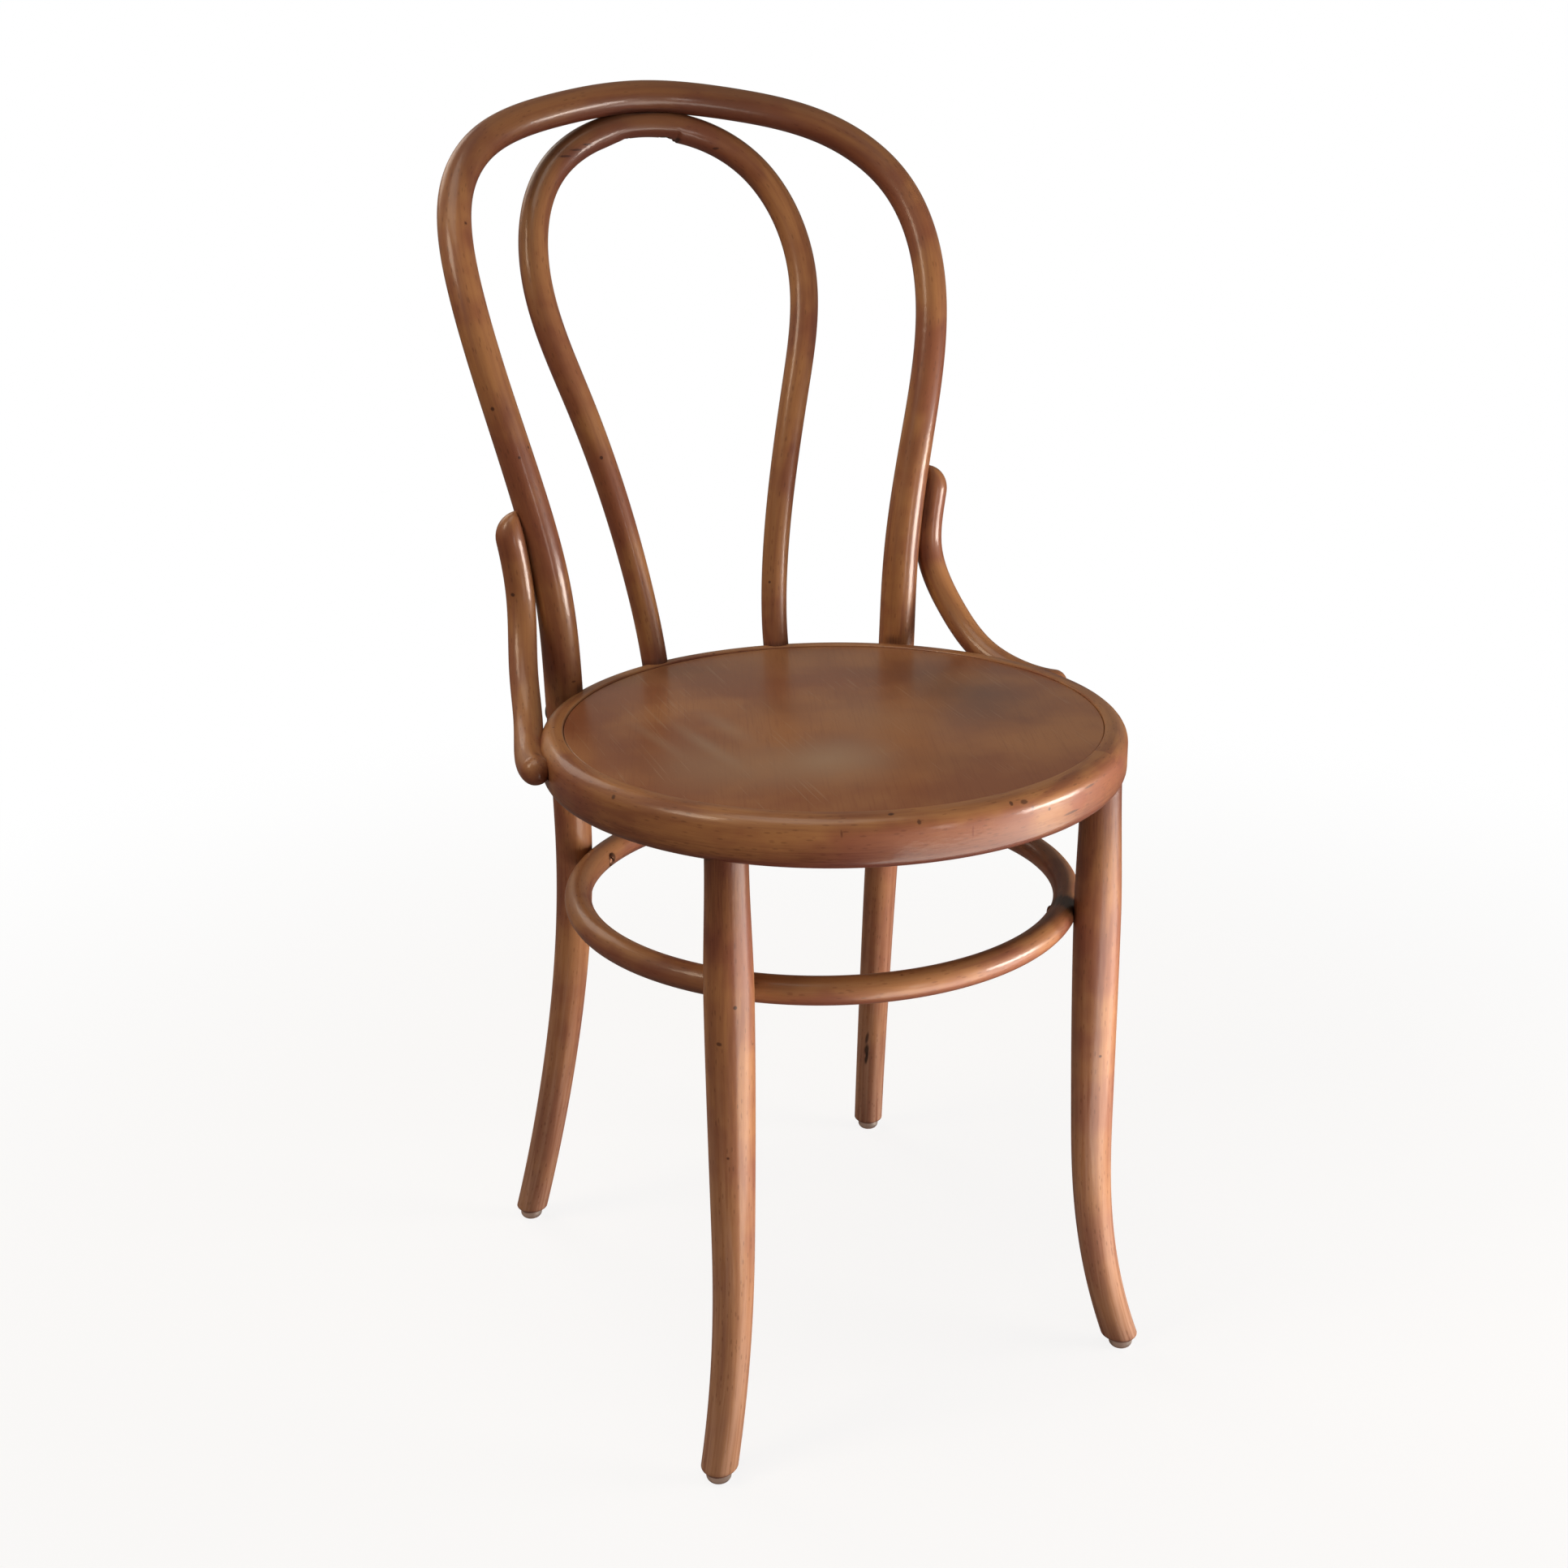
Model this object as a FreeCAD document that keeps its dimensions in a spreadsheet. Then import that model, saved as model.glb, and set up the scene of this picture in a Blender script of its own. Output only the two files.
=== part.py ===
import FreeCAD, Part
import math
import os

import Sketcher

# Bentwood bistro chair: bent beech rods, a round seat ring with a plywood panel,
# a leg ring, two side brackets and the metal fixings that hold them together.
# Millimetres. +Z is up, the sitter faces -Y, and the sitter's left hand is on +X.
# The chair is drawn round the axis of its seat. Every node is then moved by the set-back, which
# brings the origin to the floor below the middle of the whole chair.

doc = FreeCAD.newDocument("BistroChair")
sheet = doc.addObject("Spreadsheet::Sheet", "Sizes")

DRIVING_SIZES = {
    "Seat ring and panel": {
        "seat_radius": 198.0,
        "seat_height": 467.0,
        "ring_width": 32.0,
        "ring_height": 33.0,
        "ring_top_round": 10.0,
        "ring_lower_round": 8.0,
        "ring_inner_round": 2.0,
        "panel_radius": 182.0,
        "panel_thickness": 4.0,
        "panel_set_down": 1.2,
        "panel_clearance": 0.2,
        "panel_edge_round": 0.8,
    },
    "Back hoop": {
        "hoop_foot_radius": 11.9,
        "hoop_seat_radius": 13.6,
        "hoop_top_radius": 11.6,
        "hoop_foot_x": 158.0,
        "hoop_foot_y": 234.0,
        "hoop_shin_x": 139.0,
        "hoop_shin_y": 188.0,
        "hoop_shin_height": 169.0,
        "hoop_ring_angle": 43.2,
        "hoop_seat_angle": 41.9,
        "hoop_low_x": 140.5,
        "hoop_low_y": 151.5,
        "hoop_low_rise": 70.0,
        "hoop_waist_x": 155.5,
        "hoop_waist_y": 156.5,
        "hoop_waist_rise": 149.0,
        "hoop_wide_x": 179.5,
        "hoop_wide_y": 181.0,
        "hoop_wide_rise": 270.0,
        "hoop_turn_x": 170.0,
        "hoop_turn_y": 222.5,
        "hoop_turn_rise": 337.0,
        "hoop_shoulder_x": 136.0,
        "hoop_shoulder_y": 256.0,
        "hoop_shoulder_rise": 370.0,
        "hoop_crown_x": 70.0,
        "hoop_crown_y": 281.5,
        "hoop_crown_rise": 389.5,
        "hoop_top_y": 292.0,
        "hoop_top_rise": 396.5,
        "seat_notch_in_hoop": 4.0,
        "seat_notch_in_ring": 4.0,
    },
    "Inner loop": {
        "loop_foot_radius": 9.6,
        "loop_top_radius": 10.6,
        "loop_socket_angle": 15.2,
        "loop_socket_gap": 0.2,
        "loop_foot_sink": 6.0,
        "loop_tenon_radius": 4.5,
        "loop_tenon_depth": 22.0,
        "loop_low_x": 57.0,
        "loop_low_y": 199.0,
        "loop_low_rise": 61.0,
        "loop_waist_x": 87.5,
        "loop_waist_y": 221.0,
        "loop_waist_rise": 189.0,
        "loop_wide_x": 106.0,
        "loop_wide_y": 246.0,
        "loop_wide_rise": 273.0,
        "loop_shoulder_x": 80.0,
        "loop_shoulder_y": 278.0,
        "loop_shoulder_rise": 346.0,
        "loop_saddle": 2.4,
    },
    "Front legs": {
        "leg_foot_radius": 12.3,
        "leg_ring_radius": 16.0,
        "leg_top_radius": 13.7,
        "leg_top_angle": 49.0,
        "leg_ring_angle": 45.0,
        "leg_flare_x": 22.6,
        "leg_flare_y": 16.0,
        "leg_flare_height": 190.0,
        "leg_flare_power": 2.5,
        "leg_tenon_radius": 9.0,
        "leg_tenon_depth": 20.0,
    },
    "Leg ring": {
        "stretcher_radius": 171.5,
        "stretcher_tube": 9.4,
        "stretcher_center_y": 18.0,
        "stretcher_height": 337.0,
        "stretcher_saddle": 1.4,
    },
    "Side brackets": {
        "bracket_tube": 10.0,
        "bracket_saddle": 0.8,
        "bracket_ring_saddle": 1.5,
        "bracket_top_rise": 132.0,
        "bracket_top_stock": 4.0,
        "bracket_leave_rise": 68.0,
        "bracket_leave_gap": 2.0,
        "bracket_bend_x": 173.0,
        "bracket_bend_y": 130.0,
        "bracket_bend_rise": 24.0,
        "bracket_land_angle": 61.0,
        "bracket_land_rise": 12.0,
        "bracket_land_gap": 1.5,
        "bracket_rest_angle": 71.0,
        "bracket_rest_press": 1.0,
        "bracket_end_angle": 80.5,
        "bracket_end_press": 1.5,
        "bracket_drop": 14.0,
    },
    "Feet": {
        "foot_height": 7.0,
        "foot_chamfer": 3.5,
        "glide_radius": 8.5,
        "glide_round": 4.5,
        "nail_radius": 1.2,
        "nail_length": 14.0,
    },
    "Fixings": {
        "bolt_radius": 3.0,
        "bolt_head_radius": 8.0,
        "bolt_head_height": 3.0,
        "bolt_head_round": 2.6,
        "bolt_seat_depth": 3.5,
        "bolt_spot_clearance": 1.0,
        "bolt_hole_lead": 5.0,
        "bolt_hole_length": 60.0,
        "washer_radius": 8.0,
        "washer_thickness": 1.2,
        "washer_spot_clearance": 0.5,
        "spot_length": 20.0,
        "nut_width": 10.0,
        "nut_height": 5.0,
        "bolt_end": 2.0,
        "screw_radius": 2.2,
        "screw_head_radius": 4.8,
        "screw_head_height": 3.0,
        "screw_head_round": 2.6,
        "screw_slot_width": 1.2,
        "screw_slot_depth": 1.6,
        "screw_spot_clearance": 0.3,
        "screw_spot_length": 12.0,
        "screw_hole_lead": 4.0,
        "screw_length": 34.0,
        "leg_ring_screw_sink": 2.0,
        "loop_screw_length": 30.0,
        "loop_screw_x": 16.0,
        "loop_screw_sink": 5.4,
        "short_screw_length": 25.0,
        "short_screw_sink": 0.3,
        "bracket_screw_angle": 76.0,
        "dowel_radius": 3.0,
        "dowel_length": 22.0,
        "hole_clearance": 0.1,
        "socket_end_gap": 0.5,
        "hole_lead": 1.0,
    },
    "Rod sections": {
        "long_spacing": 24.0,
        "loop_spacing": 20.0,
        "short_spacing": 12.0,
        "seat_stretch": 25.0,
        "leg_stretch": 30.0,
        "bracket_stretch_low": 50.0,
        "bracket_stretch_high": 35.0,
        "top_stretch_left": 75.0,
        "top_stretch_right": 25.0,
    },
}


def fill_sheet():
    """Write every driving size into the sheet, with its name as the alias."""
    row = 1
    for group, sizes in DRIVING_SIZES.items():
        sheet.set("A%d" % row, group)
        row += 1
        for name, value in sizes.items():
            sheet.set("A%d" % row, name)
            sheet.set("B%d" % row, str(value))
            sheet.setAlias("B%d" % row, name)
            row += 1
    doc.recompute()


def size(name):
    """Return one driving size from the sheet."""
    return float(sheet.get(name))


def bind(feature, prop, expression):
    """Bind a property of a feature to an expression of sheet aliases."""
    feature.setExpression(prop, expression)


def polar(radius, angle, height):
    """Return a point on a circle round the chair's axis, the angle measured from +Y towards +X."""
    turn = math.radians(angle)
    return FreeCAD.Vector(radius * math.sin(turn), radius * math.cos(turn), height)


def mirrored(point):
    """Return the point on the other side of the chair."""
    return FreeCAD.Vector(-point.x, point.y, point.z)


def facing(origin, direction):
    """Return the placement that turns +Z to the direction, at the origin given."""
    turn = FreeCAD.Rotation(FreeCAD.Vector(0, 0, 1), direction)
    return FreeCAD.Placement(origin, turn)


def smooth(ratio):
    """Return a soft step from 0 to 1."""
    ratio = min(max(ratio, 0.0), 1.0)
    return ratio * ratio * (3.0 - 2.0 * ratio)


# Rods

def through(points):
    """Return one smooth spine edge through the points."""
    curve = Part.BSplineCurve()
    curve.interpolate(Points=points)
    return curve.toShape()


def point_at(spine, length):
    """Return the point that lies a length along the spine."""
    return spine.valueAt(spine.getParameterByLength(length))


def length_to(spine, height, last_share):
    """Return the length along a rising spine at which it reaches a height."""
    low = 0.0
    high = spine.Length * last_share
    for _ in range(60):
        middle = (low + high) / 2.0
        if point_at(spine, middle).z < height:
            low = middle
        else:
            high = middle
    return middle


def at_height(spine, height, last_share):
    """Return the rising spine's point at a height."""
    return point_at(spine, length_to(spine, height, last_share))


def bent_rod(label, spine, radius_at, spacing, start=0.0, end=None):
    """Loft a rod through circles of radius_at(point), between two lengths along the spine."""
    end = spine.Length if end is None else end
    count = max(int(round((end - start) / spacing)), 5)
    across = None
    rings = []
    for index in range(count + 1):
        parameter = spine.getParameterByLength(start + (end - start) * index / count)
        point = spine.valueAt(parameter)
        along = spine.tangentAt(parameter)
        if across is None:
            across = along.cross(FreeCAD.Vector(0.3, 1.0, 0.1))
        across = across - along * across.dot(along)
        across.normalize()
        frame = FreeCAD.Rotation(across, along.cross(across), along, "ZXY")
        ring = Part.makeCircle(radius_at(point))
        ring.Placement = FreeCAD.Placement(point, frame)
        rings.append(Part.Wire(ring))
    rod = doc.addObject("Part::Feature", label)
    rod.Shape = Part.makeLoft(rings, True, False)
    return rod


# Features

def cylinder(label, radius, length, placement):
    """Make a cylinder whose radius and length are expressions, along the placement's +Z."""
    feature = doc.addObject("Part::Cylinder", label)
    bind(feature, "Radius", radius)
    bind(feature, "Height", length)
    feature.Placement = placement
    return feature


def joined(label, parts):
    """Fuse the parts into one solid."""
    feature = doc.addObject("Part::MultiFuse", label)
    feature.Shapes = parts
    return feature


def grouped(label, parts):
    """Keep the parts as separate solids of one node."""
    feature = doc.addObject("Part::Compound", label)
    feature.Links = parts
    return feature


def cut(label, base, tools):
    """Cut every tool from the base, one after the other."""
    for tool in tools:
        feature = doc.addObject("Part::Cut", "%s_cut" % label)
        feature.Base = base
        feature.Tool = tool
        base = feature
    base.Label = label
    return base


def copy_of(label, source, placement):
    """Return a linked copy of the source at a placement."""
    link = doc.addObject("App::Link", label)
    link.LinkedObject = source
    link.Placement = placement
    return link


def rod_stretch(label, spine, radius_at, heights, last_share):
    """Loft the short stretch of a rising rod between two heights, as a tool for its neighbours."""
    low = length_to(spine, heights[0], last_share)
    high = length_to(spine, heights[1], last_share)
    return bent_rod(label, spine, radius_at, size("short_spacing"), low, high)


def mirror_of(label, source):
    """Return the source mirrored to the other side of the chair."""
    feature = doc.addObject("Part::Mirroring", label)
    feature.Source = source
    feature.Base = FreeCAD.Vector(0, 0, 0)
    feature.Normal = FreeCAD.Vector(1, 0, 0)
    return feature


def origin_plane(body, role):
    """Return one of the body's own origin planes or axes."""
    return next(item for item in body.Origin.OriginFeatures if item.Role == role)


def profile_sketch(body, label, plane, corners):
    """Draw a closed outline whose corners are pairs of expressions, or None for a point on an axis."""
    sketch = body.newObject("Sketcher::SketchObject", label)
    sketch.AttachmentSupport = [(origin_plane(body, plane), "")]
    sketch.MapMode = "FlatFace"
    values = []
    for corner in corners:
        values.append([0.0 if text is None else sheet.evalExpression(text) for text in corner])
    for index, start in enumerate(values):
        end = values[(index + 1) % len(values)]
        start_point = FreeCAD.Vector(start[0], start[1], 0)
        end_point = FreeCAD.Vector(end[0], end[1], 0)
        sketch.addGeometry(Part.LineSegment(start_point, end_point), False)
    for index in range(len(values)):
        following = (index + 1) % len(values)
        sketch.addConstraint(Sketcher.Constraint("Coincident", index, 2, following, 1))
    for index, corner in enumerate(corners):
        for number, kind, axis in ((0, "DistanceX", -2), (1, "DistanceY", -1)):
            if corner[number] is None:
                sketch.addConstraint(Sketcher.Constraint("PointOnObject", index, 1, axis))
                continue
            place = sketch.addConstraint(Sketcher.Constraint(kind, -1, 1, index, 1, values[index][number]))
            sketch.setExpression("Constraints[%d]" % place, linked(corner[number]))
    return sketch


def linked(text):
    """Return an expression that reads its aliases from the sheet."""
    words = []
    for word in text.split():
        known = any(word in sizes for sizes in DRIVING_SIZES.values())
        words.append("Sizes.%s" % word if known else word)
    return " ".join(words)


def turned_body(label, corners):
    """Make a body by turning an outline in the XZ plane about the Z axis."""
    body = doc.addObject("PartDesign::Body", label)
    sketch = profile_sketch(body, "%s_outline" % label, "XZ_Plane", corners)
    turn = body.newObject("PartDesign::Revolution", "%s_turned" % label)
    turn.Profile = sketch
    turn.ReferenceAxis = (sketch, ["V_Axis"])
    turn.Angle = 360.0
    doc.recompute()
    return body


def round_edges(body, label, kind, prop, expression, radius, height):
    """Round or chamfer the body's circular edges of one radius at one height."""
    names = []
    base = body.Tip
    for number, edge in enumerate(base.Shape.Edges, 1):
        curve = edge.Curve
        if not isinstance(curve, Part.Circle):
            continue
        if abs(curve.Radius - radius) < 0.01 and abs(curve.Center.z - height) < 0.01:
            names.append("Edge%d" % number)
    feature = body.newObject("PartDesign::%s" % kind, label)
    feature.Base = (base, names)
    bind(feature, prop, expression)
    doc.recompute()


# Seat ring blank and panel

def seat_ring_blank():
    """Turn the ring's section with the panel's rebate, and round its edges."""
    top = "seat_height"
    low = "seat_height - ring_height"
    inner = "seat_radius - ring_width"
    step = "panel_radius + panel_clearance"
    ledge = "seat_height - panel_set_down - panel_thickness"
    outside = [(inner, low), ("seat_radius", low), ("seat_radius", top)]
    corners = outside + [(step, top), (step, ledge), (inner, ledge)]
    body = turned_body("ring_blank", corners)
    round_edges(body, "ring_shoulder", "Fillet", "Radius", "Sizes.ring_top_round", seat_radius, seat_top)
    round_edges(body, "ring_belly", "Fillet", "Radius", "Sizes.ring_lower_round", seat_radius, ring_bottom)
    round_edges(body, "ring_inside", "Fillet", "Radius", "Sizes.ring_inner_round", ring_inner, ring_bottom)
    return body


def seat_panel():
    """Turn the plywood disc that lies in the ring's rebate."""
    top = "seat_height - panel_set_down"
    low = "seat_height - panel_set_down - panel_thickness"
    corners = [(None, low), ("panel_radius", low), ("panel_radius", top), (None, top)]
    body = turned_body("seat_panel", corners)
    height = seat_top - size("panel_set_down")
    radius = size("panel_radius")
    round_edges(body, "panel_edge", "Fillet", "Radius", "Sizes.panel_edge_round", radius, height)
    return body


# Back hoop

def hoop_radius(point):
    """Return the hoop's radius at a point: thickest at the seat, thinner at the feet and on top."""
    if point.z < ring_middle:
        share = smooth(point.z / ring_middle)
        return size("hoop_foot_radius") + share * (size("hoop_seat_radius") - size("hoop_foot_radius"))
    share = smooth((point.z - ring_middle) / size("hoop_wide_rise"))
    return size("hoop_seat_radius") + share * (size("hoop_top_radius") - size("hoop_seat_radius"))


def hoop_seat_point():
    """Return the upright's centre beside the ring, where half of the notch is in each piece."""
    overlap = size("seat_notch_in_hoop") + size("seat_notch_in_ring")
    reach = seat_radius + size("hoop_seat_radius") - overlap
    return polar(reach, size("hoop_seat_angle"), ring_middle)


def hoop_spine():
    """Run the hoop from the left foot over the top to the right foot."""
    leg_radius = hoop_radius(stretcher_center)
    at_stretcher = polar(stretcher_reach + leg_radius, size("hoop_ring_angle"), 0) + stretcher_center
    half = [
        FreeCAD.Vector(size("hoop_foot_x"), size("hoop_foot_y"), 0),
        FreeCAD.Vector(size("hoop_shin_x"), size("hoop_shin_y"), size("hoop_shin_height")),
        at_stretcher,
        hoop_seat_point(),
    ]
    for name in ("low", "waist", "wide", "turn", "shoulder", "crown"):
        rise = size("hoop_%s_rise" % name)
        half.append(FreeCAD.Vector(size("hoop_%s_x" % name), size("hoop_%s_y" % name), seat_top + rise))
    top = FreeCAD.Vector(0, size("hoop_top_y"), seat_top + size("hoop_top_rise"))
    return through(half + [top] + [mirrored(point) for point in reversed(half)])


# Inner loop

def loop_radius(point):
    """Return the loop's radius, a little thicker towards its top."""
    share = smooth((point.z - seat_top) / size("loop_wide_rise"))
    return size("loop_foot_radius") + share * (size("loop_top_radius") - size("loop_foot_radius"))


def loop_spine():
    """Run the loop from its left socket, over the top under the hoop, to the right socket."""
    start = seat_top - size("loop_foot_sink")
    half = [polar(loop_socket_circle, size("loop_socket_angle"), start)]
    for name in ("low", "waist", "wide", "shoulder"):
        rise = size("loop_%s_rise" % name)
        half.append(FreeCAD.Vector(size("loop_%s_x" % name), size("loop_%s_y" % name), seat_top + rise))
    drop = size("hoop_top_radius") + size("loop_top_radius") - size("loop_saddle")
    top = FreeCAD.Vector(0, size("hoop_top_y"), seat_top + size("hoop_top_rise") - drop)
    return through(half + [top] + [mirrored(point) for point in reversed(half)])


# Front leg

def leg_radius(point):
    """Return the front leg's radius: thickest at the leg ring, thinner at both ends."""
    if point.z < stretcher_height:
        share = smooth(point.z / stretcher_height)
        return size("leg_foot_radius") + share * (size("leg_ring_radius") - size("leg_foot_radius"))
    share = smooth((point.z - stretcher_height) / (ring_bottom - stretcher_height))
    return size("leg_ring_radius") + share * (size("leg_top_radius") - size("leg_ring_radius"))


def leg_top_point():
    """Return the centre of the left front leg's tenon at the ring's underside."""
    return polar(seat_radius - size("ring_width") / 2.0, 180.0 - size("leg_top_angle"), ring_bottom)


def leg_spine():
    """Run the left front leg from below its foot up into the ring, its foot swept outwards."""
    top = leg_top_point()
    reach = stretcher_reach + size("leg_ring_radius")
    middle = polar(reach, 180.0 - size("leg_ring_angle"), 0) + stretcher_center
    slope = (middle - top) * (1.0 / (top.z - middle.z))
    points = []
    for share in (0.0, 0.1, 0.2, 0.3, 0.4, 0.55, 0.7, 1.0):
        points.append(FreeCAD.Vector(0, 0, size("leg_flare_height") * share))
    points.append(FreeCAD.Vector(0, 0, middle.z))
    points.append(FreeCAD.Vector(0, 0, ring_middle))
    for point in points:
        straight = top + slope * (top.z - point.z)
        sweep = max(1.0 - point.z / size("leg_flare_height"), 0.0) ** size("leg_flare_power")
        point.x = straight.x + size("leg_flare_x") * sweep
        point.y = straight.y - size("leg_flare_y") * sweep
    return through(points)


# Feet

def foot_trimmer(label, center, radius):
    """Make the tool that cuts a foot level and chamfers its edge."""
    level = size("foot_height")
    rise = 6.0 * size("foot_chamfer")
    block = doc.addObject("Part::Cylinder", "%s_block" % label)
    block.Radius = 4.0 * radius
    block.Placement.Base = FreeCAD.Vector(center.x, center.y, -level)
    block.Height = 2.0 * level + rise
    core = doc.addObject("Part::Cone", "%s_core" % label)
    core.Radius1 = radius - size("foot_chamfer")
    core.Radius2 = radius - size("foot_chamfer") + rise
    core.Height = rise
    core.Placement.Base = FreeCAD.Vector(center.x, center.y, level)
    tool = doc.addObject("Part::Cut", label)
    tool.Base = block
    tool.Tool = core
    return tool


def glide_master():
    """Turn the domed glide with its nail, the flat of the dome at height 0."""
    corners = [
        (None, None),
        ("glide_radius", None),
        ("glide_radius", "foot_height"),
        ("nail_radius", "foot_height"),
        ("nail_radius", "foot_height + nail_length"),
        (None, "foot_height + nail_length"),
    ]
    body = turned_body("glide_master", corners)
    round_edges(body, "glide_dome", "Fillet", "Radius", "Sizes.glide_round", size("glide_radius"), 0.0)
    return body


# Fixings

def screw_master(label, length):
    """Turn a round-head wood screw, its head's underside at height 0 and its shank along +Z, and slot it."""
    body = doc.addObject("PartDesign::Body", label)
    head = [(None, None), ("screw_head_radius", None), ("screw_head_radius", "screw_head_height")]
    shank_end = "screw_head_height + %s" % length
    shank = [("screw_radius", "screw_head_height"), ("screw_radius", shank_end), (None, shank_end)]
    sketch = profile_sketch(body, "%s_outline" % label, "XZ_Plane", head + shank)
    turn = body.newObject("PartDesign::Revolution", "%s_turned" % label)
    turn.Profile = sketch
    turn.ReferenceAxis = (sketch, ["V_Axis"])
    turn.Angle = 360.0
    doc.recompute()
    radius = size("screw_head_radius")
    round_edges(body, "%s_dome" % label, "Fillet", "Radius", "Sizes.screw_head_round", radius, 0.0)
    slot = doc.addObject("Part::Box", "%s_slot" % label)
    bind(slot, "Length", "Sizes.screw_head_radius * 4")
    bind(slot, "Width", "Sizes.screw_slot_width")
    bind(slot, "Height", "Sizes.screw_slot_depth * 2")
    half_width = size("screw_slot_width") / 2.0
    slot.Placement.Base = FreeCAD.Vector(-2.0 * radius, -half_width, -size("screw_slot_depth"))
    slotted = doc.addObject("Part::Cut", "%s_slotted" % label)
    slotted.Base = body
    slotted.Tool = slot
    return slotted


def screw_at(label, master, seat, direction):
    """Place a screw with its head's underside on the seat point, pointing along the direction."""
    unit = FreeCAD.Vector(direction).normalize()
    return copy_of(label, master, facing(seat - unit * size("screw_head_height"), unit))


def screw_hole(label, seat, direction, length):
    """Make the clearance hole of a screw, from below its head to just past its tip."""
    unit = FreeCAD.Vector(direction).normalize()
    placement = facing(seat - unit * size("screw_hole_lead"), unit)
    reach = "Sizes.%s + Sizes.hole_clearance + Sizes.screw_hole_lead" % length
    return cylinder(label, "Sizes.screw_radius + Sizes.hole_clearance", reach, placement)


def screw_spot(label, seat, direction):
    """Make the flat on which a screw's head sits."""
    unit = FreeCAD.Vector(direction).normalize()
    placement = facing(seat - unit * size("screw_spot_length"), unit)
    radius = "Sizes.screw_head_radius + Sizes.screw_spot_clearance"
    return cylinder(label, radius, "Sizes.screw_spot_length", placement)


def both_sides(maker):
    """Call the maker for the left side and for the right side, and return both results."""
    return [maker("left", 1.0), maker("right", -1.0)]


def sided(point, side):
    """Return the point on its side of the chair, +1 for left."""
    return FreeCAD.Vector(point.x * side, point.y, point.z)


# Rear bolts, which run from the back of each upright inwards through the ring

def outer_edge(feature, center):
    """Return the number of the feature's circular edge round a centre."""
    for number, edge in enumerate(feature.Shape.Edges, 1):
        if isinstance(edge.Curve, Part.Circle) and edge.Curve.Center.distanceToPoint(center) < 0.01:
            return number
    raise ValueError("no circular edge at the head's centre")


def rear_bolt(name, side):
    """Make one bolt: a domed head and a shank in one piece."""
    way = sided(bolt_way, side)
    seat = sided(bolt_seat, side)
    shank = cylinder("bolt_shank_%s" % name, "Sizes.bolt_radius", BOLT_LENGTH, facing(seat, way))
    head = seat - way * size("bolt_head_height")
    place = facing(head, way)
    disc = cylinder("bolt_disc_%s" % name, "Sizes.bolt_head_radius", "Sizes.bolt_head_height", place)
    doc.recompute()
    dome = doc.addObject("Part::Fillet", "bolt_dome_%s" % name)
    dome.Base = disc
    dome.Edges = [(outer_edge(disc, head), size("bolt_head_round"), size("bolt_head_round"))]
    return joined("bolt_%s" % name, [dome, shank])


def rear_washer(name, side):
    """Make one washer on the ring's inner wall."""
    place = facing(sided(washer_seat, side), sided(bolt_way, side))
    disc = cylinder("washer_disc_%s" % name, "Sizes.washer_radius", "Sizes.washer_thickness", place)
    bore = cylinder("washer_bore_%s" % name, BOLT_HOLE_RADIUS, "Sizes.washer_thickness", place)
    return cut("washer_%s" % name, disc, [bore])


def rear_nut(name, side):
    """Make one square nut on the washer."""
    block = doc.addObject("Part::Prism", "nut_block_%s" % name)
    block.Polygon = 4
    bind(block, "Circumradius", "Sizes.nut_width / sqrt(2)")
    bind(block, "Height", "Sizes.nut_height")
    turn = FreeCAD.Placement(FreeCAD.Vector(), FreeCAD.Rotation(FreeCAD.Vector(0, 0, 1), 45.0))
    place = facing(sided(nut_seat, side), sided(bolt_way, side))
    block.Placement = place * turn
    bore = cylinder("nut_bore_%s" % name, BOLT_HOLE_RADIUS, "Sizes.nut_height", place)
    return cut("nut_%s" % name, block, [bore])


def bolt_hole(name, side):
    """Make the bolt's hole through upright and ring."""
    start = bolt_seat - bolt_way * size("bolt_hole_lead")
    place = facing(sided(start, side), sided(bolt_way, side))
    return cylinder("bolt_hole_%s" % name, BOLT_HOLE_RADIUS, "Sizes.bolt_hole_length", place)


def bolt_spot(name, side):
    """Make the flat recess in the back of an upright in which a bolt's head sits."""
    start = bolt_seat - bolt_way * size("spot_length")
    place = facing(sided(start, side), sided(bolt_way, side))
    radius = "Sizes.bolt_head_radius + Sizes.bolt_spot_clearance"
    return cylinder("bolt_spot_%s" % name, radius, "Sizes.spot_length", place)


def washer_spot(name, side):
    """Make the flat recess in the ring's inner wall for a washer."""
    place = facing(sided(washer_seat, side), sided(bolt_way, side))
    radius = "Sizes.washer_radius + Sizes.washer_spot_clearance"
    return cylinder("washer_spot_%s" % name, radius, "Sizes.spot_length", place)


def seat_notch(name, side):
    """Make the block that notches an upright where it stands against the ring."""
    block = doc.addObject("Part::Box", "seat_notch_%s" % name)
    wide = 6.0 * size("hoop_seat_radius")
    bind(block, "Length", "Sizes.hoop_seat_radius * 6")
    bind(block, "Width", "Sizes.ring_height")
    bind(block, "Height", "Sizes.hoop_seat_radius * 6")
    face = seat_point + bolt_way * (size("hoop_seat_radius") - size("seat_notch_in_hoop"))
    offset = FreeCAD.Vector(-wide / 2.0, -size("ring_height") / 2.0, 0)
    turn = math.degrees(math.atan2(bolt_way.x * side, -bolt_way.y))
    flat = FreeCAD.Rotation(FreeCAD.Vector(1, 0, 0), 90.0)
    place = FreeCAD.Placement(sided(face, side), FreeCAD.Rotation(UP, turn) * flat)
    block.Placement = place * FreeCAD.Placement(offset, FreeCAD.Rotation())
    return block


# Screws, each kind a set of screws, holes and head flats

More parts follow.
